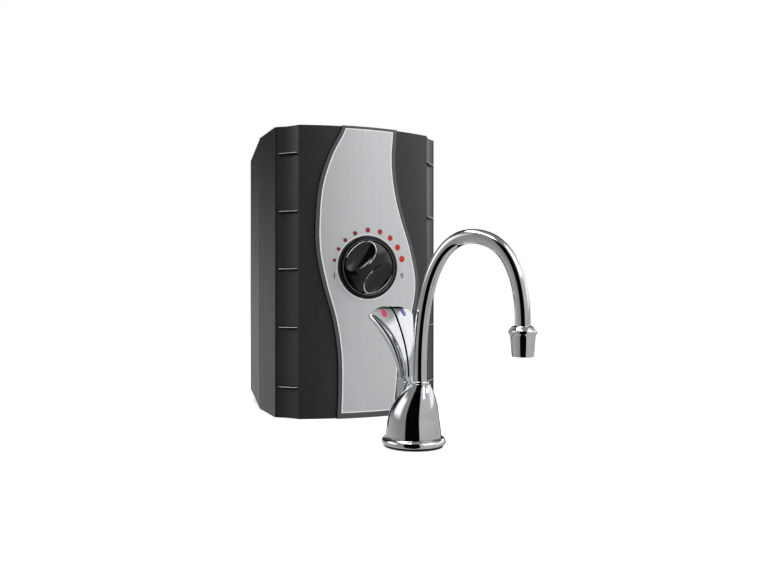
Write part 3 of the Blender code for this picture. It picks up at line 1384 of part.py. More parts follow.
def make_lever(kind, side, mark, frame):
    """A lever: hub on the pin, foot, curved blade and the toe that pushes its stem."""
    inner, outer = LEVER_SPLIT, LEVER_SPLIT + LEVER_FOOT_WIDTH
    low_y, high_y = sorted((side * inner, side * outer))
    pivot = Vector((PIVOT_X, 0, PIVOT_Z))
    low, high = (-LEVER_FOOT_BACK, low_y, PIVOT_Z), (-LEVER_FOOT_FRONT, high_y, LEVER_FOOT_TOP)
    lever = box(f"{kind}_lever", low, high, CHROME, frame)
    lever.data.transform(Matrix.Translation(-pivot))
    lever.location = pivot
    start = (PIVOT_X, low_y, PIVOT_Z)
    hub = cylinder(f"{kind}_hub", HUB_RADIUS, start, LEVER_FOOT_WIDTH, "Y", parent=frame)
    toe = box(
        f"{kind}_toe", (-LEVER_FOOT_BACK, low_y, TOE_TIP_Z),
        (-LEVER_FOOT_BACK + TOE_THICK, high_y, PIVOT_Z + OVERRUN / 2), parent=frame,
    )
    bore = cylinder(
        f"{kind}_hub_bore", PIN_RADIUS + RUNNING, (PIVOT_X, low_y - OVERRUN, PIVOT_Z),
        LEVER_FOOT_WIDTH + 2 * OVERRUN, "Y", parent=frame, sides=SMALL_SIDES,
    )
    join(lever, hub, toe, make_blade(f"{kind}_blade", side, frame))
    cut(lever, bore)
    middle = blade_point(MARKER_ACROSS_SHARE, MARKER_ALONG_SHARE, side)
    normal = blade_normal(MARKER_ACROSS_SHARE, MARKER_ALONG_SHARE, side)
    turn = normal.to_track_quat("Z", "Y").to_matrix().to_4x4()
    for name, radius, depth, rise, material in (
        (f"{kind}_marker_seat", MARKER_RADIUS + GAP, MARKER_THICK + GAP, OVERRUN, None),
        (f"{kind}_marker", MARKER_RADIUS, MARKER_THICK, MARKER_PROUD, mark),
    ):
        bm = bmesh.new()
        bmesh.ops.create_cone(
            bm, cap_ends=True, segments=HOLLOW_SIDES, radius1=radius, radius2=radius, depth=depth + rise
        )
        place = Matrix.Translation(middle) @ turn @ Matrix.Translation((0, 0, (rise - depth) / 2))
        piece = to_object(name, bm, material, frame, place)
        if material is None:
            cut(lever, piece)


def make_tank():
    make_front_shell()
    make_rear_shell()
    make_case_screws()
    make_fascia()
    make_dial()
    make_thermostat()
    make_vessel()
    make_heater()
    make_cutout()
    make_sensor()
    make_foam()
    make_ports()
    make_drain()
    make_bracket()
    make_gland()


def make_faucet():
    frame = make_faucet_frame()
    make_base(frame)
    make_bell(frame)
    make_valve_block(frame)
    make_stems(frame)
    make_swivel(frame)
    make_spout(frame)
    make_lever("hot", -1, MARK_RED, frame)
    make_lever("cold", 1, MARK_BLUE, frame)


make_tank()
make_faucet()
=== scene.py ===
# %% [markdown]
# # An instant hot water dispenser
# This lesson dresses a finished CAD model of an under-sink water heater and its two-lever faucet.
# The CAD frame is loaded first and stays as it is: each fine piece made here rides on one of its
# bodies and stands in for one of its nodes, so the dial, the spout and the levers still move.
# Everything is in metres, +Z is up, and the tank's front faces -Y.

from math import asin, atan2, cos, pi, radians, sin, tau

import bmesh
import bpy
from mathutils import Matrix, Vector


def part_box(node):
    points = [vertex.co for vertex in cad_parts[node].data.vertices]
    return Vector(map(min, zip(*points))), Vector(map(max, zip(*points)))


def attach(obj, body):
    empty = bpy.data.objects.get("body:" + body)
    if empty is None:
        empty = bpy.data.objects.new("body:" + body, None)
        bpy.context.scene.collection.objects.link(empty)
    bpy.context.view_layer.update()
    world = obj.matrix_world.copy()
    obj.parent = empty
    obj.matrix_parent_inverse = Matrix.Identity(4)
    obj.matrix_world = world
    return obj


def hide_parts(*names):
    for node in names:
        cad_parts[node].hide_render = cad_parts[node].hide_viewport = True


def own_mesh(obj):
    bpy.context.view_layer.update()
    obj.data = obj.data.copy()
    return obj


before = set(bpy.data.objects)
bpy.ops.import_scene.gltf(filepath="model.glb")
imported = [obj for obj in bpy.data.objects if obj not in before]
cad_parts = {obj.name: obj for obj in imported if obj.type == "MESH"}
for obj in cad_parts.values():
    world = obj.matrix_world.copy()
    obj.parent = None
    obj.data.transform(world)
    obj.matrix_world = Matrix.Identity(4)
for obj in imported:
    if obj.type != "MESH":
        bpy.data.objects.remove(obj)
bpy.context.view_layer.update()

# %% [markdown]
# ## Camera
# The picture is a product shot taken from the left, level with the middle of the tank, from about
# 0.8 m away. A focal length can be found from how fast the tank's top and bottom edges run
# together towards its back. The small lens shift keeps the upright edges upright while the tank
# sits left of the middle.

# %% Camera
CAMERA_PLACE = (-0.288666, -0.706301, 0.123989)
CAMERA_HEADING = radians(21.936)  # to the right of +Y
CAMERA_RISE = radians(0.16)

bpy.ops.object.select_all(action="DESELECT")
bpy.ops.object.camera_add(
    location=CAMERA_PLACE, rotation=(radians(90) + CAMERA_RISE, 0, -CAMERA_HEADING)
)
camera = bpy.context.object
camera.name = "camera"
camera.data.sensor_width = 36
camera.data.lens = 34.159
camera.data.shift_x = 0.0495
bpy.context.scene.camera = camera
bpy.context.scene.view_settings.view_transform = "Standard"
print("camera at", [round(c, 3) for c in camera.location])

# %% [markdown]
# ## Colours and nodes
# Colours are written as the hex values that a colour picker shows. Blender's sockets hold linear
# light, so one function turns them over. One more adds a node, sets it and links its inputs, which
# keeps each finish below short enough to read as a list.

# %% Colour and node helpers
def linear(hex_colour):
    """An sRGB hex colour as the linear values that a socket holds."""
    channels = [int(hex_colour[i:i + 2], 16) / 255 for i in (1, 3, 5)]
    curve = [c / 12.92 if c <= 0.04045 else ((c + 0.055) / 1.055) ** 2.4 for c in channels]
    return (*curve, 1.0)


def add_node(tree, kind, inputs=None, **settings):
    """Adds a node, sets its properties, and fills or links its inputs by name or number."""
    node = tree.nodes.new("ShaderNode" + kind)
    for name, value in settings.items():
        setattr(node, name, value)
    for name, value in (inputs or {}).items():
        if isinstance(value, bpy.types.NodeSocket):
            tree.links.new(value, node.inputs[name])
        else:
            node.inputs[name].default_value = value
    return node


def set_ramp(ramp, *stops):
    """Gives a colour ramp its stops, each a place and a hex colour."""
    elements = ramp.color_ramp.elements
    while len(elements) > 1:
        elements.remove(elements[0])
    elements[0].position, elements[0].color = stops[0][0], linear(stops[0][1])
    for place, colour in stops[1:]:
        elements.new(place).color = linear(colour)
    return ramp.outputs["Color"]


def new_finish(name, **surface):
    """A material with its shader's plain values set. Returns it with its node tree and shader."""
    finish = bpy.data.materials.new(name)
    finish.use_nodes = True
    shader = finish.node_tree.nodes["Principled BSDF"]
    for key, value in surface.items():
        shader.inputs[key.replace("_", " ")].default_value = value
    return finish, finish.node_tree, shader


def millimetres(tree, x, y, z):
    """Object coordinates in which 1 is so many millimetres along each axis."""
    place = add_node(tree, "TexCoord").outputs["Object"]
    scale = (1000 / x, 1000 / y, 1000 / z)
    return add_node(tree, "Mapping", {"Vector": place, "Scale": scale}).outputs["Vector"]


def grade(tree, value, low, high):
    """Turns a pattern that runs from 0 to 1 into one that runs from low to high."""
    inputs = {"Value": value, "To Min": low, "To Max": high}
    return add_node(tree, "MapRange", inputs).outputs["Result"]


def emboss(tree, shader, height, depth, strength=1.0):
    """Uses a pattern as relief of a real depth in metres."""
    bump = add_node(tree, "Bump", {"Height": height, "Distance": depth, "Strength": strength})
    tree.links.new(bump.outputs["Normal"], shader.inputs["Normal"])


print("helpers ready")

# %% [markdown]
# ## Moulded ABS
# The tank's case is black ABS from a mould whose walls were etched. That leaves a pebbled grain of
# about a millimetre, which breaks reflections up into a soft grey sheen. Noise gives the grain, and
# a slower noise shifts the roughness a little, as where hands and cartons have rubbed it.

# %% Case plastic
case_abs, tree, shader = new_finish("moulded_black_abs", IOR=1.53, Specular_IOR_Level=0.5)
grain = add_node(tree, "TexNoise", {"Vector": millimetres(tree, 1.3, 1.3, 1.3), "Scale": 1.0, "Detail": 2.0})
pebble = add_node(
    tree, "TexVoronoi", {"Vector": millimetres(tree, 1.5, 1.5, 1.5), "Scale": 1.0}, feature="SMOOTH_F1"
)
relief = add_node(tree, "Math", {0: grain.outputs[0], 1: pebble.outputs["Distance"]}, operation="SUBTRACT")
rub = add_node(tree, "TexNoise", {"Vector": millimetres(tree, 35, 35, 60), "Scale": 1.0, "Detail": 3.0})
emboss(tree, shader, relief.outputs[0], 0.00014, 0.6)
tree.links.new(grade(tree, rub.outputs[0], 0.27, 0.38), shader.inputs["Roughness"])
ramp = add_node(tree, "ValToRGB", {"Fac": grain.outputs[0]})
tree.links.new(set_ramp(ramp, (0.30, "#252627"), (0.72, "#313233")), shader.inputs["Base Color"])
print("finish", case_abs.name)

# %% [markdown]
# ## Satin ABS, gloss ABS and polypropylene
# The rim round the face plate is the same plastic in grey from a finer, sand-blasted mould. The
# dial is moulded against polished steel, so it is nearly a mirror at a flat angle, with only the
# faint swirls of a wiped surface. Its ring and the case's ribs come from plain ground steel, which
# leaves a satin black. The hidden fittings are milky polypropylene, which is waxy.

# %% Rim, dial and fitting plastics
rim_abs, tree, shader = new_finish("satin_grey_abs", IOR=1.53)
sand = add_node(tree, "TexNoise", {"Vector": millimetres(tree, 0.7, 0.7, 0.7), "Scale": 1.0, "Detail": 2.0})
rub = add_node(tree, "TexNoise", {"Vector": millimetres(tree, 20, 20, 45), "Scale": 1.0, "Detail": 2.0})
emboss(tree, shader, sand.outputs[0], 0.00004, 0.5)
tree.links.new(grade(tree, rub.outputs[0], 0.30, 0.42), shader.inputs["Roughness"])
ramp = add_node(tree, "ValToRGB", {"Fac": sand.outputs[0]})
tree.links.new(set_ramp(ramp, (0.3, "#4A4B4C"), (0.7, "#565758")), shader.inputs["Base Color"])

dial_abs, tree, shader = new_finish(
    "polished_black_abs", IOR=1.53, Specular_IOR_Level=0.4, Coat_Weight=0.25, Coat_Roughness=0.04
)
wipe = add_node(
    tree, "TexNoise", {"Vector": millimetres(tree, 9, 9, 9), "Scale": 1.0, "Detail": 4.0, "Distortion": 1.5}
)
tree.links.new(grade(tree, wipe.outputs[0], 0.08, 0.20), shader.inputs["Roughness"])
ramp = add_node(tree, "ValToRGB", {"Fac": wipe.outputs[0]})
tree.links.new(set_ramp(ramp, (0.3, "#08080A"), (0.7, "#0D0D0F")), shader.inputs["Base Color"])

ring_abs, tree, shader = new_finish("satin_black_abs", IOR=1.53, Specular_IOR_Level=0.22)
wear = add_node(tree, "TexNoise", {"Vector": millimetres(tree, 6, 6, 6), "Scale": 1.0, "Detail": 3.0})
tree.links.new(grade(tree, wear.outputs[0], 0.16, 0.28), shader.inputs["Roughness"])
ramp = add_node(tree, "ValToRGB", {"Fac": wear.outputs[0]})
tree.links.new(set_ramp(ramp, (0.3, "#060607"), (0.7, "#0B0B0C")), shader.inputs["Base Color"])

milky_pp, tree, shader = new_finish("milky_polypropylene", IOR=1.49)
haze = add_node(tree, "TexNoise", {"Vector": millimetres(tree, 3, 3, 3), "Scale": 1.0, "Detail": 2.0})
emboss(tree, shader, haze.outputs[0], 0.00003, 0.4)
tree.links.new(grade(tree, haze.outputs[0], 0.36, 0.50), shader.inputs["Roughness"])
ramp = add_node(tree, "ValToRGB", {"Fac": haze.outputs[0]})
tree.links.new(set_ramp(ramp, (0.3, "#DDDEDA"), (0.7, "#E9E9E5")), shader.inputs["Base Color"])
print("finishes", rim_abs.name, dial_abs.name, ring_abs.name, milky_pp.name)

# %% [markdown]
# ## Brushed aluminium
# The face plate is anodised sheet that was brushed up and down with a belt. Its scratches are long
# in Z and only tenths of a millimetre wide, so the pattern's scale differs by axis. A pixel covers
# about a millimetre here, so a wider streak is mixed in, or the brushing wouldn't show at all.

# %% Brushed face plate
plate_metal, tree, shader = new_finish("brushed_anodised_aluminium", Metallic=0.5)
fine = add_node(tree, "TexNoise", {"Vector": millimetres(tree, 0.25, 6, 40), "Scale": 1.0, "Detail": 3.0})
wide = add_node(tree, "TexNoise", {"Vector": millimetres(tree, 1.4, 12, 160), "Scale": 1.0, "Detail": 2.0})
streak = add_node(tree, "Mix", {"Factor": 0.4, 2: fine.outputs[0], 3: wide.outputs[0]}).outputs[0]
emboss(tree, shader, streak, 0.00002, 0.35)
tree.links.new(grade(tree, streak, 0.34, 0.50), shader.inputs["Roughness"])
ramp = add_node(tree, "ValToRGB", {"Fac": streak})
tree.links.new(set_ramp(ramp, (0.32, "#CFD1D4"), (0.68, "#DBDDDF")), shader.inputs["Base Color"])

# A near-white non-metal finish used as painted highlight. It lines the face plate's edge and the edge of one of the
# knob's scoops.
white_highlight_paint, tree, shader = new_finish("painted_highlight_white")
fine = add_node(tree, "TexNoise", {"Vector": millimetres(tree, 0.6, 0.6, 0.6), "Scale": 1.0})
tree.links.new(grade(tree, fine.outputs[0], 0.22, 0.32), shader.inputs["Roughness"])
ramp = add_node(tree, "ValToRGB", {"Fac": fine.outputs[0]})
tree.links.new(set_ramp(ramp, (0.3, "#F4F5F6"), (0.7, "#FCFCFD")), shader.inputs["Base Color"])
print("finishes", plate_metal.name, white_highlight_paint.name)

# %% [markdown]
# ## Chrome and the other metals
# Chrome plating on polished brass is almost a mirror and slightly blue. Only a faint change of
# roughness, like dried water, keeps it from looking painted by a computer. The vessel is stainless
# sheet rolled round its axis, the bracket and screws are zinc plated, and the valve block is bare
# turned brass.

# %% Metals
chrome, tree, shader = new_finish("chrome_plate", Metallic=1.0)
dried = add_node(tree, "TexNoise", {"Vector": millimetres(tree, 7, 7, 12), "Scale": 1.0, "Detail": 4.0})
tree.links.new(grade(tree, dried.outputs[0], 0.03, 0.07), shader.inputs["Roughness"])
ramp = add_node(tree, "ValToRGB", {"Fac": dried.outputs[0]})
tree.links.new(set_ramp(ramp, (0.3, "#DCDFE1"), (0.7, "#E8EAEC")), shader.inputs["Base Color"])


def streaked_metal(name, size, low, high, rough, depth=0.00002, anisotropic=0.0):
    """A bare metal whose tool marks have a size in millimetres along X, Y and Z."""
    finish, tree, shader = new_finish(name, Metallic=1.0, Anisotropic=anisotropic)
    marks = add_node(tree, "TexNoise", {"Vector": millimetres(tree, *size), "Scale": 1.0, "Detail": 4.0})
    emboss(tree, shader, marks.outputs[0], depth, 0.4)
    tree.links.new(grade(tree, marks.outputs[0], *rough), shader.inputs["Roughness"])
    ramp = add_node(tree, "ValToRGB", {"Fac": marks.outputs[0]})
    tree.links.new(set_ramp(ramp, (0.3, low), (0.7, high)), shader.inputs["Base Color"])
    return finish


stainless = streaked_metal("rolled_stainless", (18, 18, 0.5), "#A3A4A5", "#BFC0C0", (0.28, 0.42), anisotropic=0.4)
zinc = streaked_metal("zinc_plated_steel", (2.2, 2.2, 2.2), "#A7ABB0", "#C3C5C2", (0.26, 0.44))
brass = streaked_metal("turned_brass", (6, 6, 0.5), "#B08D49", "#CDAE6B", (0.22, 0.36))
sheath = streaked_metal("heater_alloy_sheath", (2.5, 5, 2.5), "#5C5A55", "#83807A", (0.40, 0.58), 0.00004)
print("finishes", chrome.name, stainless.name, zinc.name, brass.name, sheath.name)

# %% [markdown]
# ## Rubber, foam and the printed marks
# Grommets and seals are moulded EPDM rubber, black and dull with a dusty bloom. The insulation is
# expanded polystyrene, whose beads of about 3 mm meet in flat faces, which is just what a Voronoi
# pattern draws. The lever marks are drops of coloured epoxy, and the dial's scale is screen printed.

# %% Rubber, foam, epoxy and inks
rubber, tree, shader = new_finish("moulded_epdm_rubber", IOR=1.5)
bloom = add_node(tree, "TexNoise", {"Vector": millimetres(tree, 1.2, 1.2, 1.2), "Scale": 1.0, "Detail": 3.0})
emboss(tree, shader, bloom.outputs[0], 0.00005, 0.5)
tree.links.new(grade(tree, bloom.outputs[0], 0.62, 0.82), shader.inputs["Roughness"])
ramp = add_node(tree, "ValToRGB", {"Fac": bloom.outputs[0]})
tree.links.new(set_ramp(ramp, (0.3, "#161616"), (0.7, "#242423")), shader.inputs["Base Color"])

foam, tree, shader = new_finish("expanded_polystyrene", IOR=1.45, Roughness=0.9)
beads = add_node(
    tree, "TexVoronoi", {"Vector": millimetres(tree, 3, 3, 3), "Scale": 1.0}, feature="DISTANCE_TO_EDGE"
)
emboss(tree, shader, grade(tree, beads.outputs["Distance"], 0.0, 1.0), 0.0004, 0.6)
ramp = add_node(tree, "ValToRGB", {"Fac": beads.outputs["Distance"]})
tree.links.new(set_ramp(ramp, (0.0, "#CFCDC6"), (0.2, "#ECEBE6")), shader.inputs["Base Color"])


def pigment(name, low, high, rough, coat=0.0):
    """An opaque colour with the slight unevenness of a poured or printed layer."""
    finish, tree, shader = new_finish(name, Coat_Weight=coat)
    cloud = add_node(tree, "TexNoise", {"Vector": millimetres(tree, 1.5, 1.5, 1.5), "Scale": 1.0, "Detail": 2.0})
    tree.links.new(grade(tree, cloud.outputs[0], *rough), shader.inputs["Roughness"])
    ramp = add_node(tree, "ValToRGB", {"Fac": cloud.outputs[0]})
    tree.links.new(set_ramp(ramp, (0.3, low), (0.7, high)), shader.inputs["Base Color"])
    return finish


# A light grey used as painted highlight, on the ribs' upper front edges and on the edge of the knob's other scoop.
grey_highlight_paint = pigment("painted_highlight_grey", "#CBCCCE", "#DCDDDE", (0.25, 0.35))
red_epoxy = pigment("red_epoxy", "#C22F4C", "#D84560", (0.15, 0.25), 0.5)
blue_epoxy = pigment("blue_epoxy", "#34347F", "#454593", (0.15, 0.25), 0.5)
grey_ink = pigment("screen_printed_grey", "#1A1B1D", "#242527", (0.42, 0.55))

# The scale warms up from wine red on the left to bright red on the right, 72 mm further on.
red_ink, tree, shader = new_finish("screen_printed_red")
cloud = add_node(tree, "TexNoise", {"Vector": millimetres(tree, 0.8, 0.8, 0.8), "Scale": 1.0, "Detail": 2.0})
tree.links.new(grade(tree, cloud.outputs[0], 0.42, 0.55), shader.inputs["Roughness"])
along_scale = add_node(tree, "SeparateXYZ", {"Vector": millimetres(tree, 72, 72, 72)}).outputs["X"]
along_scale = add_node(tree, "Math", {0: along_scale, 1: 0.5}, operation="ADD").outputs[0]
ramp = add_node(tree, "ValToRGB", {"Fac": along_scale})
tree.links.new(set_ramp(ramp, (0.0, "#6E1626"), (0.5, "#92202A"), (1.0, "#C5301F")), shader.inputs["Base Color"])
print("finishes", rubber.name, foam.name, red_epoxy.name, blue_epoxy.name, red_ink.name, grey_ink.name)

# %% [markdown]
# ## Studio
# The real picture was shot on a white sweep between soft boxes. The floor is paper that the camera
# sees as white except where the object shades it. The world lights everything evenly, and what
# gloss and chrome reflect is a studio drawn by direction: white boxes left and right, and the dark
# end of the room behind the camera, which is the black stripe down every chrome pipe.

# %% World
STRIPE_AT = radians(122)  # the dark end of the room, clockwise from +X


def draw_studio():
    world = bpy.data.worlds.new("studio")
    bpy.context.scene.world = world
    world.use_nodes = True
    tree = world.node_tree
    tree.nodes.clear()
    rays = add_node(tree, "LightPath").outputs
    place = add_node(tree, "TexCoord").outputs["Generated"]
    height = add_node(tree, "SeparateXYZ", {"Vector": place}).outputs["Z"]
    # Turned so that the dark end lies at the middle of the ramps below, at 0.5.
    turned_place = add_node(tree, "Mapping", {"Vector": place, "Rotation": (0, 0, STRIPE_AT)}).outputs[0]
    around = add_node(tree, "TexGradient", {"Vector": turned_place}, gradient_type="RADIAL").outputs["Fac"]

    def by(value, *stops):
        return set_ramp(add_node(tree, "ValToRGB", {"Fac": value}), *stops)

    def mixed(factor, a, b):
        return add_node(tree, "Mix", {"Factor": factor, 6: a, 7: b}, data_type="RGBA").outputs[2]

    def soft_window(sides, heights):
        """A glowing soft box: where it starts and ends around the room and in height."""
        masks = [
            by(value, (low - soft, "#000000"), (low, "#FFFFFF"), (high, "#FFFFFF"), (high + soft, "#000000"))
            for value, (low, high, soft) in ((around, sides), (height, heights))
        ]
        return add_node(tree, "Math", {0: masks[0], 1: masks[1]}, operation="MULTIPLY").outputs[0]

    walls = by(
        around, (0.0, "#141414"), (0.172, "#141414"), (0.211, "#8A8A8A"), (0.411, "#8E8E8E"), (0.419, "#050505"),
        (0.578, "#050505"), (0.586, "#C4C4C4"), (0.806, "#C8C8C8"), (0.889, "#8A8A8A"), (0.931, "#141414"),
    )
    ground = by(
        around, (0.0, "#D8D8D8"), (0.189, "#B0B0B0"), (0.411, "#8E8E8E"), (0.419, "#050505"), (0.578, "#050505"),
        (0.586, "#B8B8B8"), (0.925, "#B8B8B8"), (0.945, "#101010"), (0.99, "#101010"), (1.0, "#D8D8D8"),
    )
    above = add_node(tree, "MapRange", {"Value": height, "From Min": -0.04, "From Max": 0.20}).outputs["Result"]
    overhead = add_node(tree, "MapRange", {"Value": height, "From Min": 0.80, "From Max": 0.88}).outputs["Result"]
    mirror = mixed(overhead, mixed(above, ground, walls), linear("#8E8E8E"))
    for sides, heights, glow in (
        ((0.230, 0.310, 0.04), (0.20, 0.55, 0.10), 1.3),
        ((0.645, 0.765, 0.03), (0.46, 0.82, 0.09), 2.0),
        ((0.765, 0.945, 0.015), (0.09, 0.39, 0.05), 1.1),
        ((0.153, 0.467, 0.02), (0.87, 0.95, 0.02), 6.0),
    ):
        mirror = mixed(soft_window(sides, heights), mirror, (glow, glow, glow, 1.0))
    even = mixed(rays["Is Glossy Ray"], linear("#BEBEBE"), mirror)
    seen = add_node(tree, "Math", {0: rays["Is Camera Ray"], 1: rays["Is Transmission Ray"]}, operation="MAXIMUM")
    colour = mixed(seen.outputs[0], even, linear("#FFFFFF"))
    light = add_node(tree, "Background", {"Color": colour, "Strength": 1.0})
    end = add_node(tree, "OutputWorld")
    tree.links.new(light.outputs[0], end.inputs["Surface"])


draw_studio()
print("world", bpy.context.scene.world.name)

# %% Floor
floor_paper, tree, shader = new_finish("white_paper_sweep", Roughness=0.9, Specular_IOR_Level=0.0)
fibre = add_node(tree, "TexNoise", {"Vector": millimetres(tree, 4, 4, 4), "Scale": 1.0})
ramp = add_node(tree, "ValToRGB", {"Fac": fibre.outputs[0]})
tree.links.new(set_ramp(ramp, (0.3, "#EDEDED"), (0.7, "#F2F2F2")), shader.inputs["Base Color"])
shader.inputs["Emission Color"].default_value = (1, 1, 1, 1)
seen = add_node(tree, "LightPath").outputs["Is Camera Ray"]
lift = add_node(tree, "Math", {0: seen, 1: 0.56}, operation="MULTIPLY")
tree.links.new(lift.outputs[0], shader.inputs["Emission Strength"])

bpy.ops.object.select_all(action="DESELECT")
bpy.ops.mesh.primitive_plane_add(size=8, location=(0, 0, -0.0003))
floor = bpy.context.object
floor.name = "paper_floor"
floor.data.materials.append(floor_paper)
floor.visible_glossy = False  # chrome sees the studio's own ground instead
print("stage", floor.name)

# %% Soft boxes
def soft_box(name, place, target, size, power):
    """A square lamp that faces its target."""
    bpy.ops.object.light_add(type="AREA", location=place)
    lamp = bpy.context.object
    lamp.name = name
    lamp.rotation_euler = (Vector(target) - Vector(place)).to_track_quat("-Z", "Y").to_euler()
    lamp.data.size = size
    lamp.data.energy = power
    lamp.visible_camera = False
    lamp.visible_glossy = False  # chrome sees the studio's soft boxes instead
    return lamp


MIDDLE = (0, -0.05, 0.14)
soft_box("key_from_right", (1.1, -1.0, 1.3), MIDDLE, 0.9, 11)
soft_box("fill_from_front", (-0.7, -1.5, 0.7), MIDDLE, 0.8, 3)
soft_box("top_light", (0.0, 0.0, 1.7), MIDDLE, 0.9, 11)

# %% [markdown]
# ## Modelling by hand, in code
# Each piece starts as one point or one primitive and is then worked as by hand: drawn out point by
# point, spun round an axis, given a thickness, bevelled, cut. These helpers only gather the clicks.
# In code nothing may be left selected by accident, so every step first clears the selection and then
# picks faces or points by where they are.

# %% Selecting and working
def hold(piece):
    """Leaves edit mode and selects this piece alone."""
    if bpy.context.object and bpy.context.object.mode == "EDIT":
        bpy.ops.object.mode_set(mode="OBJECT")
    bpy.ops.object.select_all(action="DESELECT")
    if piece is not None:
        piece.select_set(True)
        bpy.context.view_layer.objects.active = piece


def edit(piece, kind="VERT", everything=False):
    """Opens a piece in edit mode with all or nothing of it selected."""
    hold(piece)
    bpy.ops.object.mode_set(mode="EDIT")
    bpy.ops.mesh.select_mode(type=kind)
    bpy.ops.mesh.select_all(action="SELECT" if everything else "DESELECT")


def pick(piece, test, kind="VERT"):
    """Selects what the test says yes to, by its middle, in the piece that is being edited."""
    bpy.ops.mesh.select_all(action="DESELECT")
    mesh = bmesh.from_edit_mesh(piece.data)
    for item in {"VERT": mesh.verts, "EDGE": mesh.edges, "FACE": mesh.faces}[kind]:
        points = [item.co] if kind == "VERT" else [v.co for v in item.verts]
        middle = sum(points, Vector()) / len(points)
        if test(piece.matrix_world @ middle):
            item.select_set(True)
    bmesh.update_edit_mesh(piece.data)


def use(piece, kind, **settings):
    """Adds a modifier, sets it and applies it."""
    hold(piece)
    modifier = piece.modifiers.new(kind.title(), kind)
    for name, value in settings.items():
        setattr(modifier, name, value)
    bpy.ops.object.modifier_apply(modifier=modifier.name)


def round_edges(piece, width, segments=3, sharper_than=30):
    """Rounds every edge that turns by more than an angle."""
    use(
        piece, "BEVEL", width=width, segments=segments, limit_method="ANGLE",
        angle_limit=radians(sharper_than), use_clamp_overlap=True, harden_normals=False,
    )


def cut_away(piece, *cutters, operation="DIFFERENCE"):
    for cutter in cutters:
        use(piece, "BOOLEAN", object=cutter, operation=operation, solver="EXACT")
        bpy.data.objects.remove(cutter)


def draw_line(name, points):
    """Keeps one corner of a small plane and extrudes it from point to point."""
    hold(None)
    bpy.ops.mesh.primitive_plane_add(size=0.001, location=points[0])
    line = bpy.context.object
    line.name = name
    edit(line, everything=True)
    bpy.ops.mesh.merge(type="CENTER")
    for here, there in zip(points, points[1:]):
        step = Vector(there) - Vector(here)
        bpy.ops.mesh.extrude_region_move(TRANSFORM_OT_translate={"value": step})
    return line


def weld(piece, threshold=1e-6):
    """Merges points that lie on each other and turns all faces outwards."""
    edit(piece, everything=True)
    bpy.ops.mesh.remove_doubles(threshold=threshold)
    bpy.ops.mesh.normals_make_consistent(inside=False)
    hold(piece)


def turn_up(name, section, place, axis=(0, 0, 1), steps=72):
    """Spins a section of (radius, height) points about an axis, as on a lathe."""
    up = Vector(axis).normalized()
    out = up.orthogonal().normalized()
    line = draw_line(name, [Vector(place) + out * r + up * h for r, h in section])
    edit(line, everything=True)
    bpy.ops.mesh.spin(steps=steps, angle=tau, center=place, axis=up)
    weld(line)
    return line


def lift_outline(name, outline, rise):
    """Fills a closed outline and pulls it out into a solid along rise."""
    solid = draw_line(name, [*outline, outline[0]])
    edit(solid, everything=True)
    bpy.ops.mesh.remove_doubles(threshold=1e-6)
    bpy.ops.mesh.edge_face_add()
    bpy.ops.mesh.extrude_region_move(TRANSFORM_OT_translate={"value": Vector(rise)})
    weld(solid)
    return solid


def dress(piece, finish, slot, body, *nodes, smooth=32, flats=False):
    """Fixes a piece's place in its mesh, gives it its finish and ties it to the frame."""
    hold(piece)
    bpy.ops.object.transform_apply(location=True, rotation=True, scale=True)
    bpy.ops.object.shade_smooth_by_angle(angle=radians(smooth))
    if flats:  # the large faces set the shading, so they stay flat beside a rounded edge
        use(piece, "WEIGHTED_NORMAL", keep_sharp=True, weight=50)
    piece.data.materials.clear()
    piece.data.materials.append(finish)
    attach(piece, body)
    if nodes:
        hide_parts(*nodes)
    print("made", piece.name, "with", len(piece.data.polygons), "faces for", ", ".join(nodes) or "detail")


print("tools ready")

# %% [markdown]
# ## The case front
# The front half of the case is one moulding: two side walls, a bowed front and two hollow cut
# corners between them. Its outline is the same at every height, so it is drawn once in plan and
# pulled up. The ends are filled, the back is left open, and Solidify gives the wall. A little
# rounding on each edge is what a mould leaves, and it is also what catches the light.

# %% Case outline
HALF_WIDTH, HALF_FACE, COVE = 0.0875, 0.0695, 0.018
FRONT_Y, FACE_BOW, SEAM_Y = -0.040, 0.012, 0.036
TANK_HEIGHT, WALL = 0.283, 0.0025
COVE_HOLLOW = 0.0022
KNOB_X, KNOB_Z = -0.0030, 0.1462


def face_y(x):
    """The front's line in plan, bulging forward in the middle."""
    return FRONT_Y - FACE_BOW * (1 - (x / HALF_FACE) ** 2)


def cut_corner(bulge, count=10):
    """The left corner in plan, from the side wall to the front."""
    points = []
    for i in range(count + 1):
        share = i / count
        swell = bulge * sin(pi * share) / 2**0.5
        points.append((-HALF_WIDTH + COVE * share - swell, FRONT_Y + COVE * (1 - share) - swell))
    return points


left = [(-HALF_WIDTH, SEAM_Y), *cut_corner(-COVE_HOLLOW)]
bow = [(HALF_FACE * (i / 18 - 1), face_y(HALF_FACE * (i / 18 - 1))) for i in range(1, 36)]
case_plan = left + bow + [(-x, y) for x, y in reversed(left)]
print("case outline of", len(case_plan), "points")

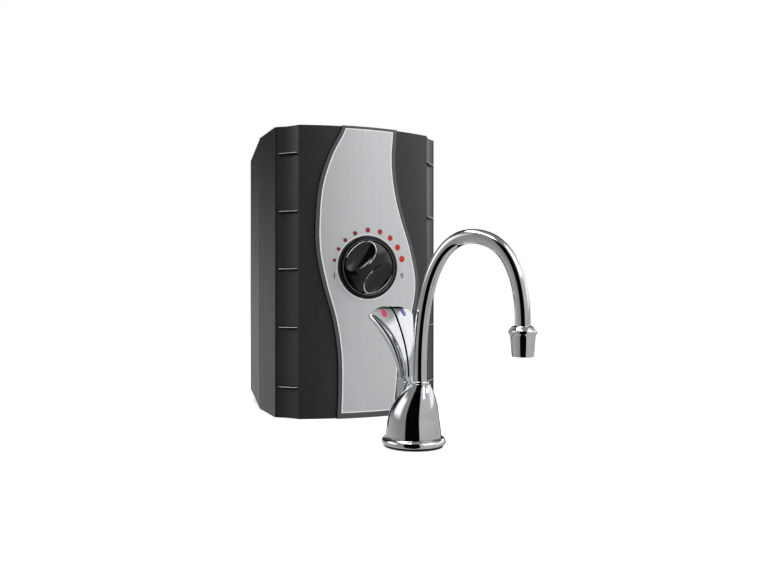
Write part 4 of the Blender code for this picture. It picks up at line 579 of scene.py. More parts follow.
# %% Case front
case_front = draw_line("case_front", [(x, y, 0) for x, y in case_plan])
edit(case_front, everything=True)
bpy.ops.mesh.extrude_region_move(TRANSFORM_OT_translate={"value": (0, 0, TANK_HEIGHT)})
for end in (0, TANK_HEIGHT):
    pick(case_front, lambda p: abs(p.z - end) < 1e-5)
    bpy.ops.mesh.edge_face_add()
weld(case_front)
use(case_front, "SOLIDIFY", thickness=WALL, offset=-1, use_even_offset=True)
bush_hole = turn_up(
    "bush_hole", [(0, 0), (0.0049, 0), (0.0049, 0.02), (0, 0.02)], (KNOB_X, -0.04, KNOB_Z), (0, -1, 0)
)
cut_away(case_front, bush_hole)
round_edges(case_front, 0.0009, sharper_than=24)
for side in (-1, 1):
    hold(None)
    place = (side * (HALF_WIDTH - 0.0010), FRONT_Y + COVE - 0.0006, TANK_HEIGHT / 2)
    bpy.ops.mesh.primitive_cube_add(size=1, location=place, rotation=(0, 0, side * radians(30)))
    groove = bpy.context.object
    groove.scale = (0.0015, 0.0024, TANK_HEIGHT * 1.1)
    cut_away(case_front, groove)
dress(case_front, case_abs, "case_black", "dispenser", "front_shell", flats=True)

# %% [markdown]
# ## Corner ribs
# Five short ribs stiffen each cut corner. One is drawn in the corner, copied up the case by its
# heights, and the five are then mirrored to the other side. Each copy has its own mesh.

# %% Ribs
RIB_THICK, RIB_PROUD = 0.0026, 0.0006
outer = [(x - RIB_PROUD, y - RIB_PROUD) for x, y in cut_corner(0, 20)[3:20]]
root = [(x + 0.0020, y + 0.0020) for x, y in cut_corner(-COVE_HOLLOW, 20)[3:20]]
rib = lift_outline("corner_ribs", [(x, y, 0) for x, y in outer + root[::-1]], (0, 0, RIB_THICK))
round_edges(rib, 0.0008, 4, sharper_than=40)
copies = []
for share in (0.103, 0.307, 0.507, 0.704, 0.903):
    hold(rib)
    bpy.ops.object.duplicate(linked=False)
    bpy.ops.transform.translate(value=(0, 0, TANK_HEIGHT * share - RIB_THICK / 2))
    copies.append(bpy.context.object)
bpy.data.objects.remove(rib)
hold(copies[0])
for copy in copies:
    copy.select_set(True)
bpy.ops.object.join()
ribs = bpy.context.object
ribs.name = "corner_ribs"
bpy.ops.object.transform_apply(location=True, rotation=True, scale=True)
use(ribs, "MIRROR", use_axis=(True, False, False))
weld(ribs)
dress(ribs, ring_abs, "case_black", "dispenser")
# The rounding on each rib that faces up and forward is painted light grey. This is a painted highlight along the
# rib's upper edge.
ribs.data.materials.append(grey_highlight_paint)
for face in ribs.data.polygons:
    if 0.25 < face.normal.z < 0.97 and face.normal.y < -0.1:
        face.material_index = 1

# %% [markdown]
# ## The case back
# The rear half is a plain tapering tub with a pocket for the pipes. Its CAD shape is right, so a
# copy of that mesh is merged, its flat faces are joined again, and its edges get a finer rounding.

# %% Case back and bracket
def refine(node, name, width, segments=3):
    """A copy of a CAD node with its triangles joined into flat faces and its edges rounded."""
    piece = bpy.data.objects.new(name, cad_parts[node].data.copy())
    bpy.context.collection.objects.link(piece)
    edit(piece, everything=True)
    bpy.ops.mesh.remove_doubles(threshold=1e-5)
    bpy.ops.mesh.dissolve_limited(angle_limit=radians(1.5))
    round_edges(piece, width, segments, sharper_than=35)
    return piece


dress(refine("rear_shell", "case_back", 0.0004), case_abs, "case_black", "dispenser", "rear_shell", flats=True)
dress(refine("wall_bracket", "wall_plate", 0.0003), zinc, "zinc_steel", "dispenser", "wall_bracket", flats=True)

# %% [markdown]
# ## Rim and face plate
# An S-shaped island stands on the front: a grey rim with a metal plate let into it. Both are drawn
# flat as an outline, filled, cut into upright strips, and then pressed onto a curved former with
# Shrinkwrap, as a sheet is pressed onto a mould, so they follow the bowed front exactly.

# %% The S outline
PLATE_MIDDLES = (-0.016, -0.004, 0.007, 0.030, 0.022, -0.016, -0.051, -0.063, -0.045, -0.001)
PLATE_HALVES = (0.158, 0.164, 0.178, 0.230, 0.275, 0.273, 0.238, 0.208, 0.175, 0.143)
PLATE_STATIONS = (0.00, 0.10, 0.22, 0.34, 0.46, 0.58, 0.70, 0.80, 0.90, 1.00)
TANK_WIDTH = 0.175
ISLAND_PROUD, PLATE_SUNK, RIM_BAND = 0.0035, 0.0004, 0.0040
PLATE_FOOT, PLATE_HEAD = 0.0052, 0.0024


def read_table(stations, values, at):
    """The value at a place on a smooth line through a table."""
    number = max(i for i in range(len(stations) - 1) if at >= stations[i] or i == 0)
    low, high = stations[number], stations[number + 1]
    a, b = values[number], values[number + 1]
    before, after = values[max(number - 1, 0)], values[min(number + 2, len(values) - 1)]
    t = (at - low) / (high - low)
    return (
        (2 * t**3 - 3 * t * t + 1) * a + (t**3 - 2 * t * t + t) * (b - before) / 2
        + (3 * t * t - 2 * t**3) * b + (t**3 - t * t) * (after - a) / 2
    )


def plate_edges(z):
    share = min(max(z / TANK_HEIGHT, 0.0), 1.0)
    middle = read_table(PLATE_STATIONS, PLATE_MIDDLES, share) * TANK_WIDTH
    half = read_table(PLATE_STATIONS, PLATE_HALVES, share) * TANK_WIDTH
    return middle - half, middle + half


former = draw_line(
    "former", [(HALF_FACE * (i / 40 - 1), face_y(HALF_FACE * (i / 40 - 1)), -0.01) for i in range(81)]
)
edit(former, everything=True)
bpy.ops.mesh.extrude_region_move(TRANSFORM_OT_translate={"value": (0, 0, TANK_HEIGHT + 0.02)})
hold(former)
bpy.ops.object.transform_apply(location=True)


def press_on(piece, proud):
    """Moves every point straight back onto the former, or so far before it."""
    hold(piece)
    bpy.ops.object.transform_apply(location=True, rotation=True, scale=True)
    use(
        piece, "SHRINKWRAP", target=former, wrap_method="PROJECT", use_project_y=True,
        use_project_x=False, use_project_z=False, use_positive_direction=True,
        use_negative_direction=True,
    )
    edit(piece, everything=True)
    bpy.ops.transform.translate(value=(0, -proud, 0))
    hold(piece)


def s_sheet(name, grow, low, high, proud, thick, rows=72):
    """A sheet with the plate's outline, wider by grow, pressed onto the front."""
    heights = [low + (high - low) * i / rows for i in range(rows + 1)]
    outline = [(plate_edges(z)[0] - grow, -0.08, z) for z in heights]
    outline += [(plate_edges(z)[1] + grow, -0.08, z) for z in reversed(heights)]
    sheet = draw_line(name, [*outline, outline[0]])
    edit(sheet, everything=True)
    bpy.ops.mesh.remove_doubles(threshold=1e-6)
    bpy.ops.mesh.edge_face_add()
    for i in range(1, 30):
        bpy.ops.mesh.select_all(action="SELECT")
        x = HALF_FACE * (i / 15 - 1)
        bpy.ops.mesh.bisect(plane_co=(x, 0, 0), plane_no=(1, 0, 0))
    hold(sheet)
    press_on(sheet, proud)
    edit(sheet, everything=True)
    bpy.ops.mesh.extrude_region_move(TRANSFORM_OT_translate={"value": (0, thick, 0)})
    weld(sheet)
    return sheet


# %% Rim
def dial_plug(name, radius):
    """A solid round cutter where the dial passes through."""
    return turn_up(name, [(0, 0), (radius, 0), (radius, 0.03), (0, 0.03)], (KNOB_X, -0.04, KNOB_Z), (0, -1, 0), 96)


rim = s_sheet("island_rim", RIM_BAND, 0, TANK_HEIGHT, ISLAND_PROUD, ISLAND_PROUD - 0.0003)
round_edges(rim, 0.0013, 4, sharper_than=50)
recess = s_sheet("recess", 0.0003, PLATE_FOOT - 0.0003, TANK_HEIGHT - PLATE_HEAD + 0.0003, 0.01, 0.01 - 0.0017)
cut_away(rim, recess, dial_plug("rim_plug", 0.0311))
dress(rim, rim_abs, "rim_grey", "dispenser", "fascia_rim", smooth=25)
# The rim's outer side walls take the black satin plastic. This is painted shade beside the rim.
rim.data.materials.append(ring_abs)
for face in rim.data.polygons:
    left_edge, right_edge = plate_edges(face.center.z)
    if abs(face.normal.y) < 0.5 and not left_edge - 0.002 < face.center.x < right_edge + 0.002:
        face.material_index = 1

# %% Face plate
plate = s_sheet("brushed_plate", 0, PLATE_FOOT, TANK_HEIGHT - PLATE_HEAD, ISLAND_PROUD - PLATE_SUNK, 0.0012)
cut_away(plate, dial_plug("plate_plug", 0.0311))
dress(plate, plate_metal, "brushed_silver", "dispenser", "face_plate", smooth=25)
# Every face except the plate's front is painted near white, and an inset leaves a 1.1 mm strip of it round the front.
# This is a painted highlight along the plate's edge.
plate.data.materials.append(white_highlight_paint)
edit(plate, "FACE", everything=True)
plate.active_material_index = 1
bpy.ops.object.material_slot_assign()
pick(plate, lambda p: p.y < face_y(p.x) - ISLAND_PROUD + PLATE_SUNK + 0.0003, "FACE")
bpy.ops.mesh.inset(thickness=0.0011, use_even_offset=True)
plate.active_material_index = 0
bpy.ops.object.material_slot_assign()
hold(plate)

# %% [markdown]
# ## The dial
# The ring is a shallow cup turned on a lathe. The knob is a low dome with two leaf-shaped scoops,
# which leave a bar between them to grip. A scoop is a squashed ball that leans with the dome. It is
# first trimmed to a circle, so that a thin lip is left round the knob, and then taken away. Half
# of each scoop's rounded edge is painted white or light grey, a painted highlight along that edge.

# %% Dial ring
BEZEL_RADIUS, BEZEL_RING, BEZEL_DEPTH = 0.0308, 0.0042, 0.0058
BEZEL_BACK_Y = FRONT_Y - FACE_BOW - 0.0003
hole, inner = 0.0049, BEZEL_RADIUS - BEZEL_RING
section = [
    (hole, 0), (BEZEL_RADIUS, 0), (BEZEL_RADIUS, BEZEL_DEPTH - 0.0022),
    (BEZEL_RADIUS - 0.0004, BEZEL_DEPTH - 0.0010), (BEZEL_RADIUS - 0.0013, BEZEL_DEPTH - 0.0003),
    (BEZEL_RADIUS - 0.0024, BEZEL_DEPTH), (inner + 0.0009, BEZEL_DEPTH), (inner, BEZEL_DEPTH - 0.0008),
    (inner, 0.0015), (hole, 0.0015), (hole, 0),
]
ring = turn_up("dial_ring", section, (KNOB_X, BEZEL_BACK_Y, KNOB_Z), (0, -1, 0), 128)
dress(ring, ring_abs, "gloss_black", "dispenser", "knob_bezel", smooth=40)
# The ring's inner lip takes the grey rim plastic. This is a painted highlight round its inner edge.
ring.data.materials.append(rim_abs)
for face in ring.data.polygons:
    out = Vector((face.center.x - KNOB_X, face.center.z - KNOB_Z))
    if inner < out.length < inner + 0.0009 and face.normal.y < -0.2:
        face.material_index = 1

# %% Knob
KNOB_BACK_Y, KNOB_RADIUS, KNOB_RIM, KNOB_DOME = BEZEL_BACK_Y - 0.0018, 0.0263, 0.0028, 0.0060
GRIP_TURN = radians(42)  # where the bar points, up from +X
SCOOP, HALF_GRIP, KNOB_LIP = (0.0235, 0.0048, 0.0107), 0.0037, 0.0011
section = [
    (0, 0.0077), (0.00315, 0.0077), (0.00315, 0.0037), (0.0081, 0.0037), (0.0081, 0),
    (KNOB_RADIUS, 0), (KNOB_RADIUS, KNOB_RIM - 0.0005), (KNOB_RADIUS - 0.0005, KNOB_RIM),
]
section += [
    (KNOB_RADIUS * share, KNOB_RIM + KNOB_DOME * (1 - share**2))
    for share in (0.96, 0.9, 0.8, 0.7, 0.6, 0.5, 0.4, 0.3, 0.2, 0.1, 0)
]
knob = turn_up("grip_knob", section, (KNOB_X, KNOB_BACK_Y, KNOB_Z), (0, -1, 0), 128)
across = Vector((-sin(GRIP_TURN), 0, cos(GRIP_TURN)))
middle = HALF_GRIP + SCOOP[2]
height = KNOB_RIM + KNOB_DOME * (1 - (middle / KNOB_RADIUS)**2)
lean = atan2(2 * KNOB_DOME * middle, KNOB_RADIUS**2)
for side in (-1, 1):
    hold(None)
    bpy.ops.mesh.primitive_uv_sphere_add(segments=96, ring_count=48, radius=1)
    scoop = bpy.context.object
    scoop.scale = SCOOP
    scoop.rotation_euler = (-side * lean, -GRIP_TURN, 0)
    scoop.location = Vector((KNOB_X, KNOB_BACK_Y - height, KNOB_Z)) + across * side * middle
    reach = KNOB_RADIUS - KNOB_LIP
    circle = turn_up(
        "scoop_limit", [(0, -0.01), (reach, -0.01), (reach, 0.03), (0, 0.03)],
        (KNOB_X, KNOB_BACK_Y, KNOB_Z), (0, -1, 0), 128,
    )
    cut_away(scoop, circle, operation="INTERSECT")
    cut_away(knob, scoop)
weld(knob, 0.00005)
dress(knob, dial_abs, "gloss_black", "dial", "dial_knob", smooth=30)
# Half of each scoop's rounded edge is painted, white on one scoop and light grey on the other. This is a painted
# highlight.
for finish in (white_highlight_paint, grey_highlight_paint):
    knob.data.materials.append(finish)
use(
    knob, "BEVEL", width=0.0005, segments=3, limit_method="ANGLE", angle_limit=radians(30),
    use_clamp_overlap=False, material=1,
)
along = Vector((cos(GRIP_TURN), 0, sin(GRIP_TURN)))
for face in knob.data.polygons:
    if face.material_index == 1:
        place = face.center - Vector((KNOB_X, KNOB_BACK_Y, KNOB_Z))
        side = 1 if place.dot(across) > 0 else -1
        onward, outward = side * place.dot(along), side * place.dot(across)
        gets_highlight_paint = onward > 0.001 or (outward > 0.0160 and onward > -0.012)
        inside = (
            place.y < -0.0030 and HALF_GRIP - 0.001 < outward
            and (place.x**2 + place.z**2)**0.5 < KNOB_RADIUS - 0.0006
        )
        face.material_index = (1 if side == 1 else 2) if gets_highlight_paint and inside else 0

# %% [markdown]
# ## The printed scale
# Nine red dots grow round the dial from mild to hot, with a plain numeral at each end. Ink is a film
# of a few hundredths of a millimetre, so each dot is a thin disc that is pressed onto the plate.

# %% Dots and numerals
PLATE_PROUD = ISLAND_PROUD - PLATE_SUNK
INK = 0.00006
SCALE_X, SCALE_Z, SCALE_RADIUS = KNOB_X + 0.0022, KNOB_Z - 0.0005, 0.0369
FIRST_DOT, DOT_GROWTH = 0.0016, 0.0017


def print_on(piece, ink=INK):
    """Lays a flat shape on the plate as a film of ink."""
    press_on(piece, PLATE_PROUD + ink)
    use(piece, "SOLIDIFY", thickness=ink, offset=-1)


dots = []
for number, turn in enumerate((169, 151, 134, 115.5, 94, 73.5, 53.5, 34, 14.5)):
    angle = radians(turn)
    radius = FIRST_DOT + DOT_GROWTH * number / 8
    hold(None)
    place = (SCALE_X + SCALE_RADIUS * cos(angle), -0.08, SCALE_Z + SCALE_RADIUS * sin(angle))
    bpy.ops.mesh.primitive_circle_add(
        vertices=32, radius=radius, fill_type="NGON", location=place, rotation=(radians(90), 0, 0),
    )
    dot = bpy.context.object
    edit(dot, "FACE", everything=True)
    bpy.ops.mesh.inset(thickness=radius * 0.25)
    print_on(dot)
    dots.append(dot)
hold(dots[0])
for dot in dots:
    dot.select_set(True)
bpy.ops.object.join()
dress(bpy.context.object, red_ink, "mark_red", "dispenser")
bpy.context.object.name = "heat_scale_dots"

for text, x, z in (("1", -0.0372, 0.1350), ("9", 0.0350, 0.1350)):
    hold(None)
    bpy.ops.object.text_add(location=(x, -0.08, z), rotation=(radians(90), 0, 0))
    numeral = bpy.context.object
    numeral.name = "scale_number_" + text
    numeral.data.body = text
    numeral.data.size = 0.0085
    numeral.data.align_x = "CENTER"
    bpy.ops.object.convert(target="MESH")
    edit(numeral, everything=True)
    bpy.ops.mesh.remove_doubles(threshold=0.00001)
    print_on(numeral, 2 * INK)
    dress(numeral, grey_ink, "rim_grey", "dispenser")
bpy.data.objects.remove(former)

# %% [markdown]
# ## The faucet's base
# The faucet stands turned, so its pieces are placed by how far they lie along the spout, across it
# and up. The flange is a turned disc with an undercut below the bell, which shows as a thin dark
# line. The bell is turned too, and its upper half leans towards the spout: each ring of points is
# moved along a little further than the one below it.

# %% Faucet places and flange
FAUCET = Vector((-0.021, -0.186, 0))
ALONG = Vector((cos(radians(-59)), sin(radians(-59)), 0))
ACROSS = Vector((-sin(radians(-59)), cos(radians(-59)), 0))


def at(along, across, up):
    return FAUCET + ALONG * along + ACROSS * across + Vector((0, 0, up))


section = [
    (0.0166, 0.0017), (0.0242, 0.0017), (0.0250, 0.0022), (0.0255, 0.0030), (0.0256, 0.0040), (0.0253, 0.0052),
    (0.0247, 0.0062), (0.0240, 0.0069), (0.0231, 0.0074), (0.0226, 0.0076), (0.0166, 0.0076), (0.0166, 0.0017),
]
flange = turn_up("round_flange", section, FAUCET, steps=128)
dress(flange, chrome, "chrome", "dispenser", "base_flange", smooth=40)

# %% Bell
BELL_BOTTOM, BELL_TOP, BELL_CEILING, FOOT_RADIUS = 0.0079, 0.0495, 0.0415, 0.0222
BELL_STATIONS = (0.00, 0.08, 0.17, 0.27, 0.40, 0.52, 0.64, 0.76, 0.87, 0.95, 1.00)
BELL_WIDTHS = (1.000, 0.990, 0.968, 0.940, 0.900, 0.850, 0.770, 0.665, 0.545, 0.440, 0.387)
LEAN_FROM, LEAN = 0.022, 0.006


def bell_radius(z):
    share = (z - BELL_BOTTOM) / (BELL_TOP - BELL_BOTTOM)
    return FOOT_RADIUS * read_table(BELL_STATIONS, BELL_WIDTHS, min(max(share, 0.0), 1.0))


rows = 32
heights = [BELL_BOTTOM + (BELL_TOP - BELL_BOTTOM) * i / rows for i in range(rows + 1)]
ceiling = [z for z in heights if z < BELL_CEILING]
section = [(bell_radius(z) - 0.0025, z) for z in reversed(ceiling)]
section = [
    (0.0072, ceiling[-1]), *section, *[(bell_radius(z), z) for z in heights],
    (0.0072, BELL_TOP), (0.0072, ceiling[-1]),
]
bell = turn_up("bell_body", section, FAUCET, steps=128)
for z in heights:
    if z > LEAN_FROM:
        edit(bell)
        pick(bell, lambda p: abs(p.z - z) < 1e-5)
        shift = ALONG * LEAN * ((z - LEAN_FROM) / (BELL_TOP - LEAN_FROM)) ** 1.5
        bpy.ops.transform.translate(value=shift)
hold(None)
bpy.ops.mesh.primitive_cube_add(size=1, location=at(-0.00645, 0, 0.0408), rotation=(0, 0, radians(-59)))
slot = bpy.context.object
slot.scale = (0.0083, 0.0200, 0.0256)
cut_away(bell, slot)
pin_hole = turn_up(
    "pin_hole", [(0, -0.0115), (0.0018, -0.0115), (0.0018, 0.0115), (0, 0.0115)],
    at(-0.006, 0, 0.039), ACROSS, 32,
)
cut_away(bell, pin_hole)
round_edges(bell, 0.0004, 3, sharper_than=40)
dress(bell, chrome, "chrome", "dispenser", "faucet_body", smooth=30)

# %% [markdown]
# ## Spout
# The gooseneck is one bent tube. A Bezier curve with a round bevel makes it, because a curve keeps
# the tube's width even all along the bend. It is made a mesh and its ends are closed. The collar
# below it and the nozzle at its end are turned.

# %% Collar and tube
section = [
    (0.0059, 0.0498), (0.0074, 0.0498), (0.0076, 0.0501), (0.0076, 0.0511),
    (0.0071, 0.0517), (0.0065, 0.0518), (0.0059, 0.0518), (0.0059, 0.0498),
]
collar = turn_up("tube_collar", section, at(0.006, 0, 0), steps=96)
dress(collar, chrome, "chrome", "dispenser", "neck_collar", smooth=40)

TUBE_RADIUS, TUBE_X, REACH = 0.0056, 0.006, 0.0866
ARCH_X, ARCH_Z, STRAIGHT_TO, END_Z = 0.0442, 0.1646, 0.060, 0.0982
hold(None)
bpy.ops.curve.primitive_bezier_curve_add()
goose = bpy.context.object
goose.name = "gooseneck"
spline = goose.data.splines[0]
spline.bezier_points.add(3)
stops = [
    # each stop: its place and the reach of its handles before and after it
    ((0, 0, 0.037), (0, 0, -0.004), (0, 0, 0.008)),
    ((0, 0, STRAIGHT_TO), (0, 0, -0.008), (0, 0, 0.66 * (ARCH_Z - STRAIGHT_TO))),
    ((ARCH_X, 0, ARCH_Z), (-0.60 * ARCH_X, 0, 0), (0.60 * ARCH_X, 0, 0)),
    ((REACH, 0, END_Z), (0, 0, 0.66 * (ARCH_Z - END_Z)), (0, 0, -0.001)),
    ((REACH, 0, END_Z - 0.003), (0, 0, 0.001), (0, 0, -0.001)),
]
for point, (place, before, after) in zip(spline.bezier_points, stops):
    point.handle_left_type = point.handle_right_type = "FREE"
    point.co = at(place[0] + TUBE_X, 0, place[2])
    point.handle_left = point.co + ALONG * before[0] + Vector((0, 0, before[2]))
    point.handle_right = point.co + ALONG * after[0] + Vector((0, 0, after[2]))
goose.data.dimensions = "3D"
goose.data.bevel_depth = TUBE_RADIUS
goose.data.bevel_resolution = 14
goose.data.resolution_u = 40
goose.data.use_fill_caps = True
bpy.ops.object.convert(target="MESH")
weld(goose)
dress(goose, chrome, "chrome", "spout", "spout_tube", smooth=40)

# %% Nozzle
low, top = 0.0757, 0.0982
section = [
    (0.0059, top), (0.0064, top), (0.0072, 0.0979), (0.0080, 0.0973), (0.0088, 0.0963), (0.0097, 0.0953),
    (0.0102, 0.0946), (0.01037, 0.0940), (0.01037, 0.0931), (0.0101, 0.0925), (0.0094, 0.0918), (0.0090, 0.0903),
    (0.0088, 0.0870), (0.00845, 0.0820), (0.0081, 0.0775), (0.0079, 0.0762), (0.0077, low), (0.0065, low),
    (0.0063, low + 0.0003),
    (0.0063, 0.0946), (0.0045, 0.0946), (0.0045, 0.0949), (0.0059, 0.0949), (0.0059, top),
]
nozzle = turn_up("spout_nozzle", section, at(TUBE_X + REACH, 0, 0), steps=128)
dress(nozzle, chrome, "chrome", "spout", "nozzle_shell", smooth=40)

# %% [markdown]
# ## Levers
# The two levers are thin curved blades that lean away from the spout and spread like leaves. One is
# a grid whose rows and columns are moved, point by point, onto the blade's curve, given a thickness
# and rounded at its edges. The foot inside the bell is kept from the CAD node, cut off under the
# blade. A drop of coloured epoxy marks hot and cold. A thin black strip on the hot lever's inner
# edge is painted shade: it stands for the dark gap between the two blades.

# %% Blade curve
SPLIT, ROOT_X, START_Z, BLADE_HEIGHT = 0.00035, -0.0044, 0.0530, 0.0580
ROOT_WIDTH, TIP_WIDTH, SPREAD = 0.0102, 0.0371, 1.65
BLADE_LEAN, EVEN, CURL, SWEEP, ROOT_SWEEP, CORNER = 0.0230, 0.71, 12, 0.0040, 0.2, 0.127


def blade_point(across, up, side):
    """A point of a blade's front: across from the slit to its outer edge, up from root to tip."""
    rise = up * (1 - CORNER * abs(across)**2.5)
    tilt = asin(min(max(rise, 0.0), 1.0)) / (pi / 2)
    width = ROOT_WIDTH + (TIP_WIDTH - ROOT_WIDTH) * max(rise, 0.0)**SPREAD
    back = BLADE_LEAN * (EVEN * rise**2 + (1 - EVEN) * tilt**CURL)
    sweep = SWEEP * across**2 * (ROOT_SWEEP + (1 - ROOT_SWEEP) * max(rise, 0.0))
    return at(ROOT_X - back - sweep, side * (SPLIT + (width - SPLIT) * across), START_Z + BLADE_HEIGHT * rise)


def blade_normal(across, up, side):
    step = 0.01
    du = blade_point(across + step, up, side) - blade_point(across - step, up, side)
    dv = blade_point(across, up + step, side) - blade_point(across, up - step, side)
    normal = du.cross(dv).normalized()
    return normal if normal.dot(ALONG) > 0 else -normal


# %% Levers
def make_lever(kind, side, epoxy, mark_slot):
    columns, rows = 12, 40
    hold(None)
    bpy.ops.mesh.primitive_grid_add(x_subdivisions=columns, y_subdivisions=rows, size=1, location=(0, 0, 0))
    blade = bpy.context.object
    blade.name = kind + "_blade"
    edit(blade)
    mesh = bmesh.from_edit_mesh(blade.data)
    for vertex in mesh.verts:
        vertex.co = blade_point(vertex.co.x + 0.5, sin(pi / 2 * (vertex.co.y + 0.5)), side)
    bmesh.update_edit_mesh(blade.data)
    bpy.ops.mesh.select_all(action="SELECT")
    bpy.ops.mesh.normals_make_consistent(inside=False)
    hold(blade)
    forward = sum((p.normal.dot(ALONG) for p in blade.data.polygons))
    use(blade, "SOLIDIFY", thickness=0.0022, offset=-1 if forward > 0 else 1, use_even_offset=True)
    round_edges(blade, 0.0006, 3, sharper_than=45)
    foot = bpy.data.objects.new(kind + "_foot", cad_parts[kind + "_lever"].data.copy())
    bpy.context.collection.objects.link(foot)
    edit(foot, everything=True)
    bpy.ops.mesh.remove_doubles(threshold=1e-5)
    bpy.ops.mesh.select_all(action="SELECT")
    bpy.ops.mesh.bisect(plane_co=(0, 0, 0.0545), plane_no=(0, 0, 1), use_fill=True, clear_outer=True)
    bpy.ops.mesh.select_all(action="SELECT")
    bpy.ops.mesh.dissolve_limited(angle_limit=radians(1.5))
    round_edges(foot, 0.0004, 3, sharper_than=40)
    hold(blade)
    foot.select_set(True)
    bpy.ops.object.join()
    dress(blade, chrome, "chrome", kind + "_lever", kind + "_lever", smooth=35)

    middle, normal = blade_point(0.42, 0.92, side), blade_normal(0.42, 0.92, side)
    section = [(0, -0.0009), (0.0036, -0.0009), (0.0036, 0.00005), (0.0033, 0.00016), (0.0025, 0.00026), (0, 0.0003)]
    drop = turn_up(kind + "_epoxy", section, middle, normal, 48)
    dress(drop, epoxy, mark_slot, kind + "_lever", kind + "_marker", smooth=40)


make_lever("hot", -1, red_epoxy, "mark_red")
make_lever("cold", 1, blue_epoxy, "mark_blue")

# %% Painted shade strip between the levers
# A thin black strip along the hot blade's inner edge. This is painted shade for the dark gap between the two blades.
hold(None)
bpy.ops.mesh.primitive_grid_add(x_subdivisions=2, y_subdivisions=40, size=1, location=(0, 0, 0))
gap_shade_strip = bpy.context.object
gap_shade_strip.name = "lever_buffer"
edit(gap_shade_strip)
mesh = bmesh.from_edit_mesh(gap_shade_strip.data)
for vertex in mesh.verts:
    up = 0.02 + 0.97 * (vertex.co.y + 0.5)
    place, normal = blade_point(0, up, -1), blade_normal(0.02, up, -1)
    normal = (normal - ACROSS * normal.dot(ACROSS)).normalized()
    vertex.co = place + normal * (0.0006 - 0.0018 * (0.5 - vertex.co.x)) + ACROSS * 0.00035
bmesh.update_edit_mesh(gap_shade_strip.data)
hold(gap_shade_strip)
use(gap_shade_strip, "SOLIDIFY", thickness=0.0007, offset=0)
weld(gap_shade_strip)
dress(gap_shade_strip, ring_abs, "rubber", "hot_lever")

# %% [markdown]
# ## Return spring
# The hot lever is sent back by a small coil spring round its valve stem. Its wire is one line drawn
# round and round and then given a thickness. On the real tap it squashes by the 3 mm that the stem
# slides in; this coil keeps its length.

# %% Return spring
COIL_START, COIL_END, COIL_RADIUS, WIRE, TURNS = -0.0058, 0.0030, 0.0020, 0.0003, 5
points = []
for i in range(TURNS * 20 + 1):
    angle = tau * i / 20
    along = COIL_START + (COIL_END - COIL_START) * i / (TURNS * 20)
    points.append(at(along, COIL_RADIUS * cos(angle) - 0.0053, 0.0318 + COIL_RADIUS * sin(angle)))
coil = draw_line("return_coil", points)
hold(coil)
bpy.ops.object.convert(target="CURVE")
coil = bpy.context.object
coil.data.bevel_depth = WIRE
coil.data.bevel_resolution = 3
coil.data.use_fill_caps = True
bpy.ops.object.convert(target="MESH")
weld(coil)
dress(coil, zinc, "zinc_steel", "dispenser", "hot_return_spring", smooth=50)
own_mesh(coil)

# %% [markdown]
# ## Pipe stubs, seals and screws
# Round the back and on top are the fittings: three barbed stubs in rubber grommets, a gland for the
# cord, the drain plug and the screws. All but the drain plug are turned here, and the stub and the
# grommet are turned once and copied to their places. A screw gets the cross in its head from two
# crossed blades.

# %% Stubs and grommets
def copy_to(piece, name, offset):
    """An own copy of a piece, moved by an offset."""
    hold(piece)
    bpy.ops.object.duplicate(linked=False)
    bpy.ops.transform.translate(value=offset)
    bpy.context.object.name = name
    return bpy.context.object


STUB_Y, POCKET_FLOOR = 0.061, 0.256
BORE, STUB, BARB = 0.0031, 0.0046, 0.0055
section = [(BORE, 0.2498), (STUB, 0.2498)]
for top in (0.2705, 0.2750):
    section += [(STUB, top - 0.0038), (BARB, top - 0.0036), (STUB, top)]
section += [(STUB - 0.0003, 0.2752), (BORE, 0.2750), (BORE, 0.2498)]
section = [(r, min(z, 0.2750)) for r, z in section]
stub = turn_up("pipe_stub", section, (0, STUB_Y, 0), steps=64)
section = [
    (0.0049, 0.2535), (0.0065, 0.2535), (0.0065, 0.2563), (0.0079, 0.2563), (0.0081, 0.2566), (0.0081, 0.2575),
    (0.0078, 0.2579), (0.0049, 0.2579), (0.0049, 0.2535),
]
grommet = turn_up("pipe_grommet", section, (0, STUB_Y, 0), steps=64)
for name, x in (("hot_outlet", -0.020), ("vent", 0.0), ("cold_inlet", 0.020)):
    dress(copy_to(stub, name + "_pipe", (x, 0, 0)), milky_pp, "white_plastic", "dispenser", name + "_stub", smooth=40)
    dress(copy_to(grommet, name + "_ring", (x, 0, 0)), rubber, "rubber", "dispenser", name + "_grommet", smooth=40)
bpy.data.objects.remove(stub)
bpy.data.objects.remove(grommet)

# %% Gland
section = [
    (0.0040, 0.1029), (0.0062, 0.1029), (0.0062, 0.1103), (0.0087, 0.1103), (0.0090, 0.1106), (0.0090, 0.1146),
    (0.0087, 0.1149), (0.0080, 0.1152), (0.0077, 0.1159), (0.0083, 0.1163), (0.0078, 0.1166), (0.0070, 0.1169),
    (0.0069, 0.1177), (0.0073, 0.1180), (0.0067, 0.1184), (0.0060, 0.1193),
    (0.0043, 0.1193), (0.0040, 0.1190), (0.0040, 0.1029),
]
gland = turn_up("cord_bush", section, (0.048, 0, 0.034), (0, 1, 0), steps=64)
dress(gland, rubber, "rubber", "dispenser", "cord_gland", smooth=40)

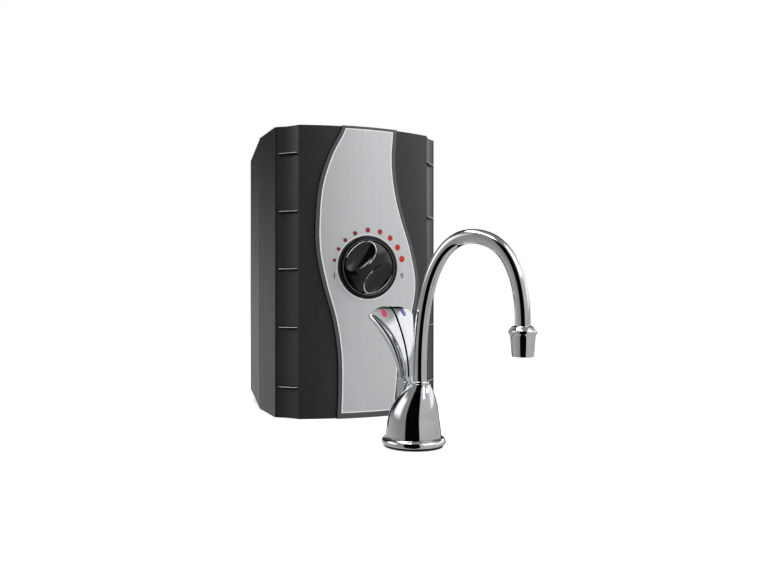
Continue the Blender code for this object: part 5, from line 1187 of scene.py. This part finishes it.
# %% Screws
def make_screw(name, radius=0.0034, head=0.0013, length=0.009):
    """A pan-head screw at the origin that points up, its head downwards."""
    section = [
        (0, 0), (radius * 0.55, 0.00003), (radius * 0.85, 0.00016), (radius, 0.0005), (radius, head),
        (0.0018, head), (0.0018, head + length - 0.0018), (0, head + length),
    ]
    screw = turn_up(name, section, (0, 0, 0), steps=48)
    for turn in (0, 90):
        hold(None)
        bpy.ops.mesh.primitive_cube_add(size=1, location=(0, 0, 0.0002), rotation=(0, 0, radians(turn)))
        bit = bpy.context.object
        bit.scale = (radius * 1.15, radius * 0.24, 0.0013)
        cut_away(screw, bit)
    return screw


for node, name in (
    ("case_screw_1", "case_bolt_1"), ("case_screw_2", "case_bolt_2"),
    ("case_screw_3", "case_bolt_3"), ("case_screw_4", "case_bolt_4"),
    ("bracket_screw_left", "bracket_bolt_left"), ("bracket_screw_right", "bracket_bolt_right"),
):
    lowest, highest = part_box(node)
    size = highest - lowest
    middle = (lowest + highest) / 2
    axis = max(range(3), key=lambda i: size[i])
    screw = make_screw(name, max(s for i, s in enumerate(size) if i != axis) / 2, 0.0013, size[axis] - 0.0013)
    hold(screw)
    if axis == 1:
        screw.rotation_euler = (radians(90), 0, 0)
        screw.location = (middle.x, highest.y, middle.z)
    elif middle.z > 0.1:
        screw.rotation_euler = (radians(180), 0, 0)
        screw.location = (middle.x, middle.y, highest.z)
    else:
        screw.location = (middle.x, middle.y, lowest.z)
    dress(screw, zinc, "zinc_steel", "dispenser", node, smooth=35)

# %% [markdown]
# ## Everything else
# What stays hidden in the case, and the few small parts whose CAD shape is already right, keep
# their CAD mesh and get the finish of their material slot.

# %% Finishes for the carried-over nodes
FINISHES = {
    "case_black": case_abs, "rim_grey": rim_abs, "brushed_silver": plate_metal, "gloss_black": dial_abs,
    "chrome": chrome, "stainless": stainless, "zinc_steel": zinc, "brass": brass, "rubber": rubber,
    "foam": foam, "white_plastic": milky_pp, "heater_sheath": sheath, "mark_red": red_epoxy, "mark_blue": blue_epoxy,
}
for name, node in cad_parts.items():
    for place in node.material_slots:
        place.material = FINISHES[place.material.name.split(".")[0]]
print("finished", len(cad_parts), "CAD nodes")
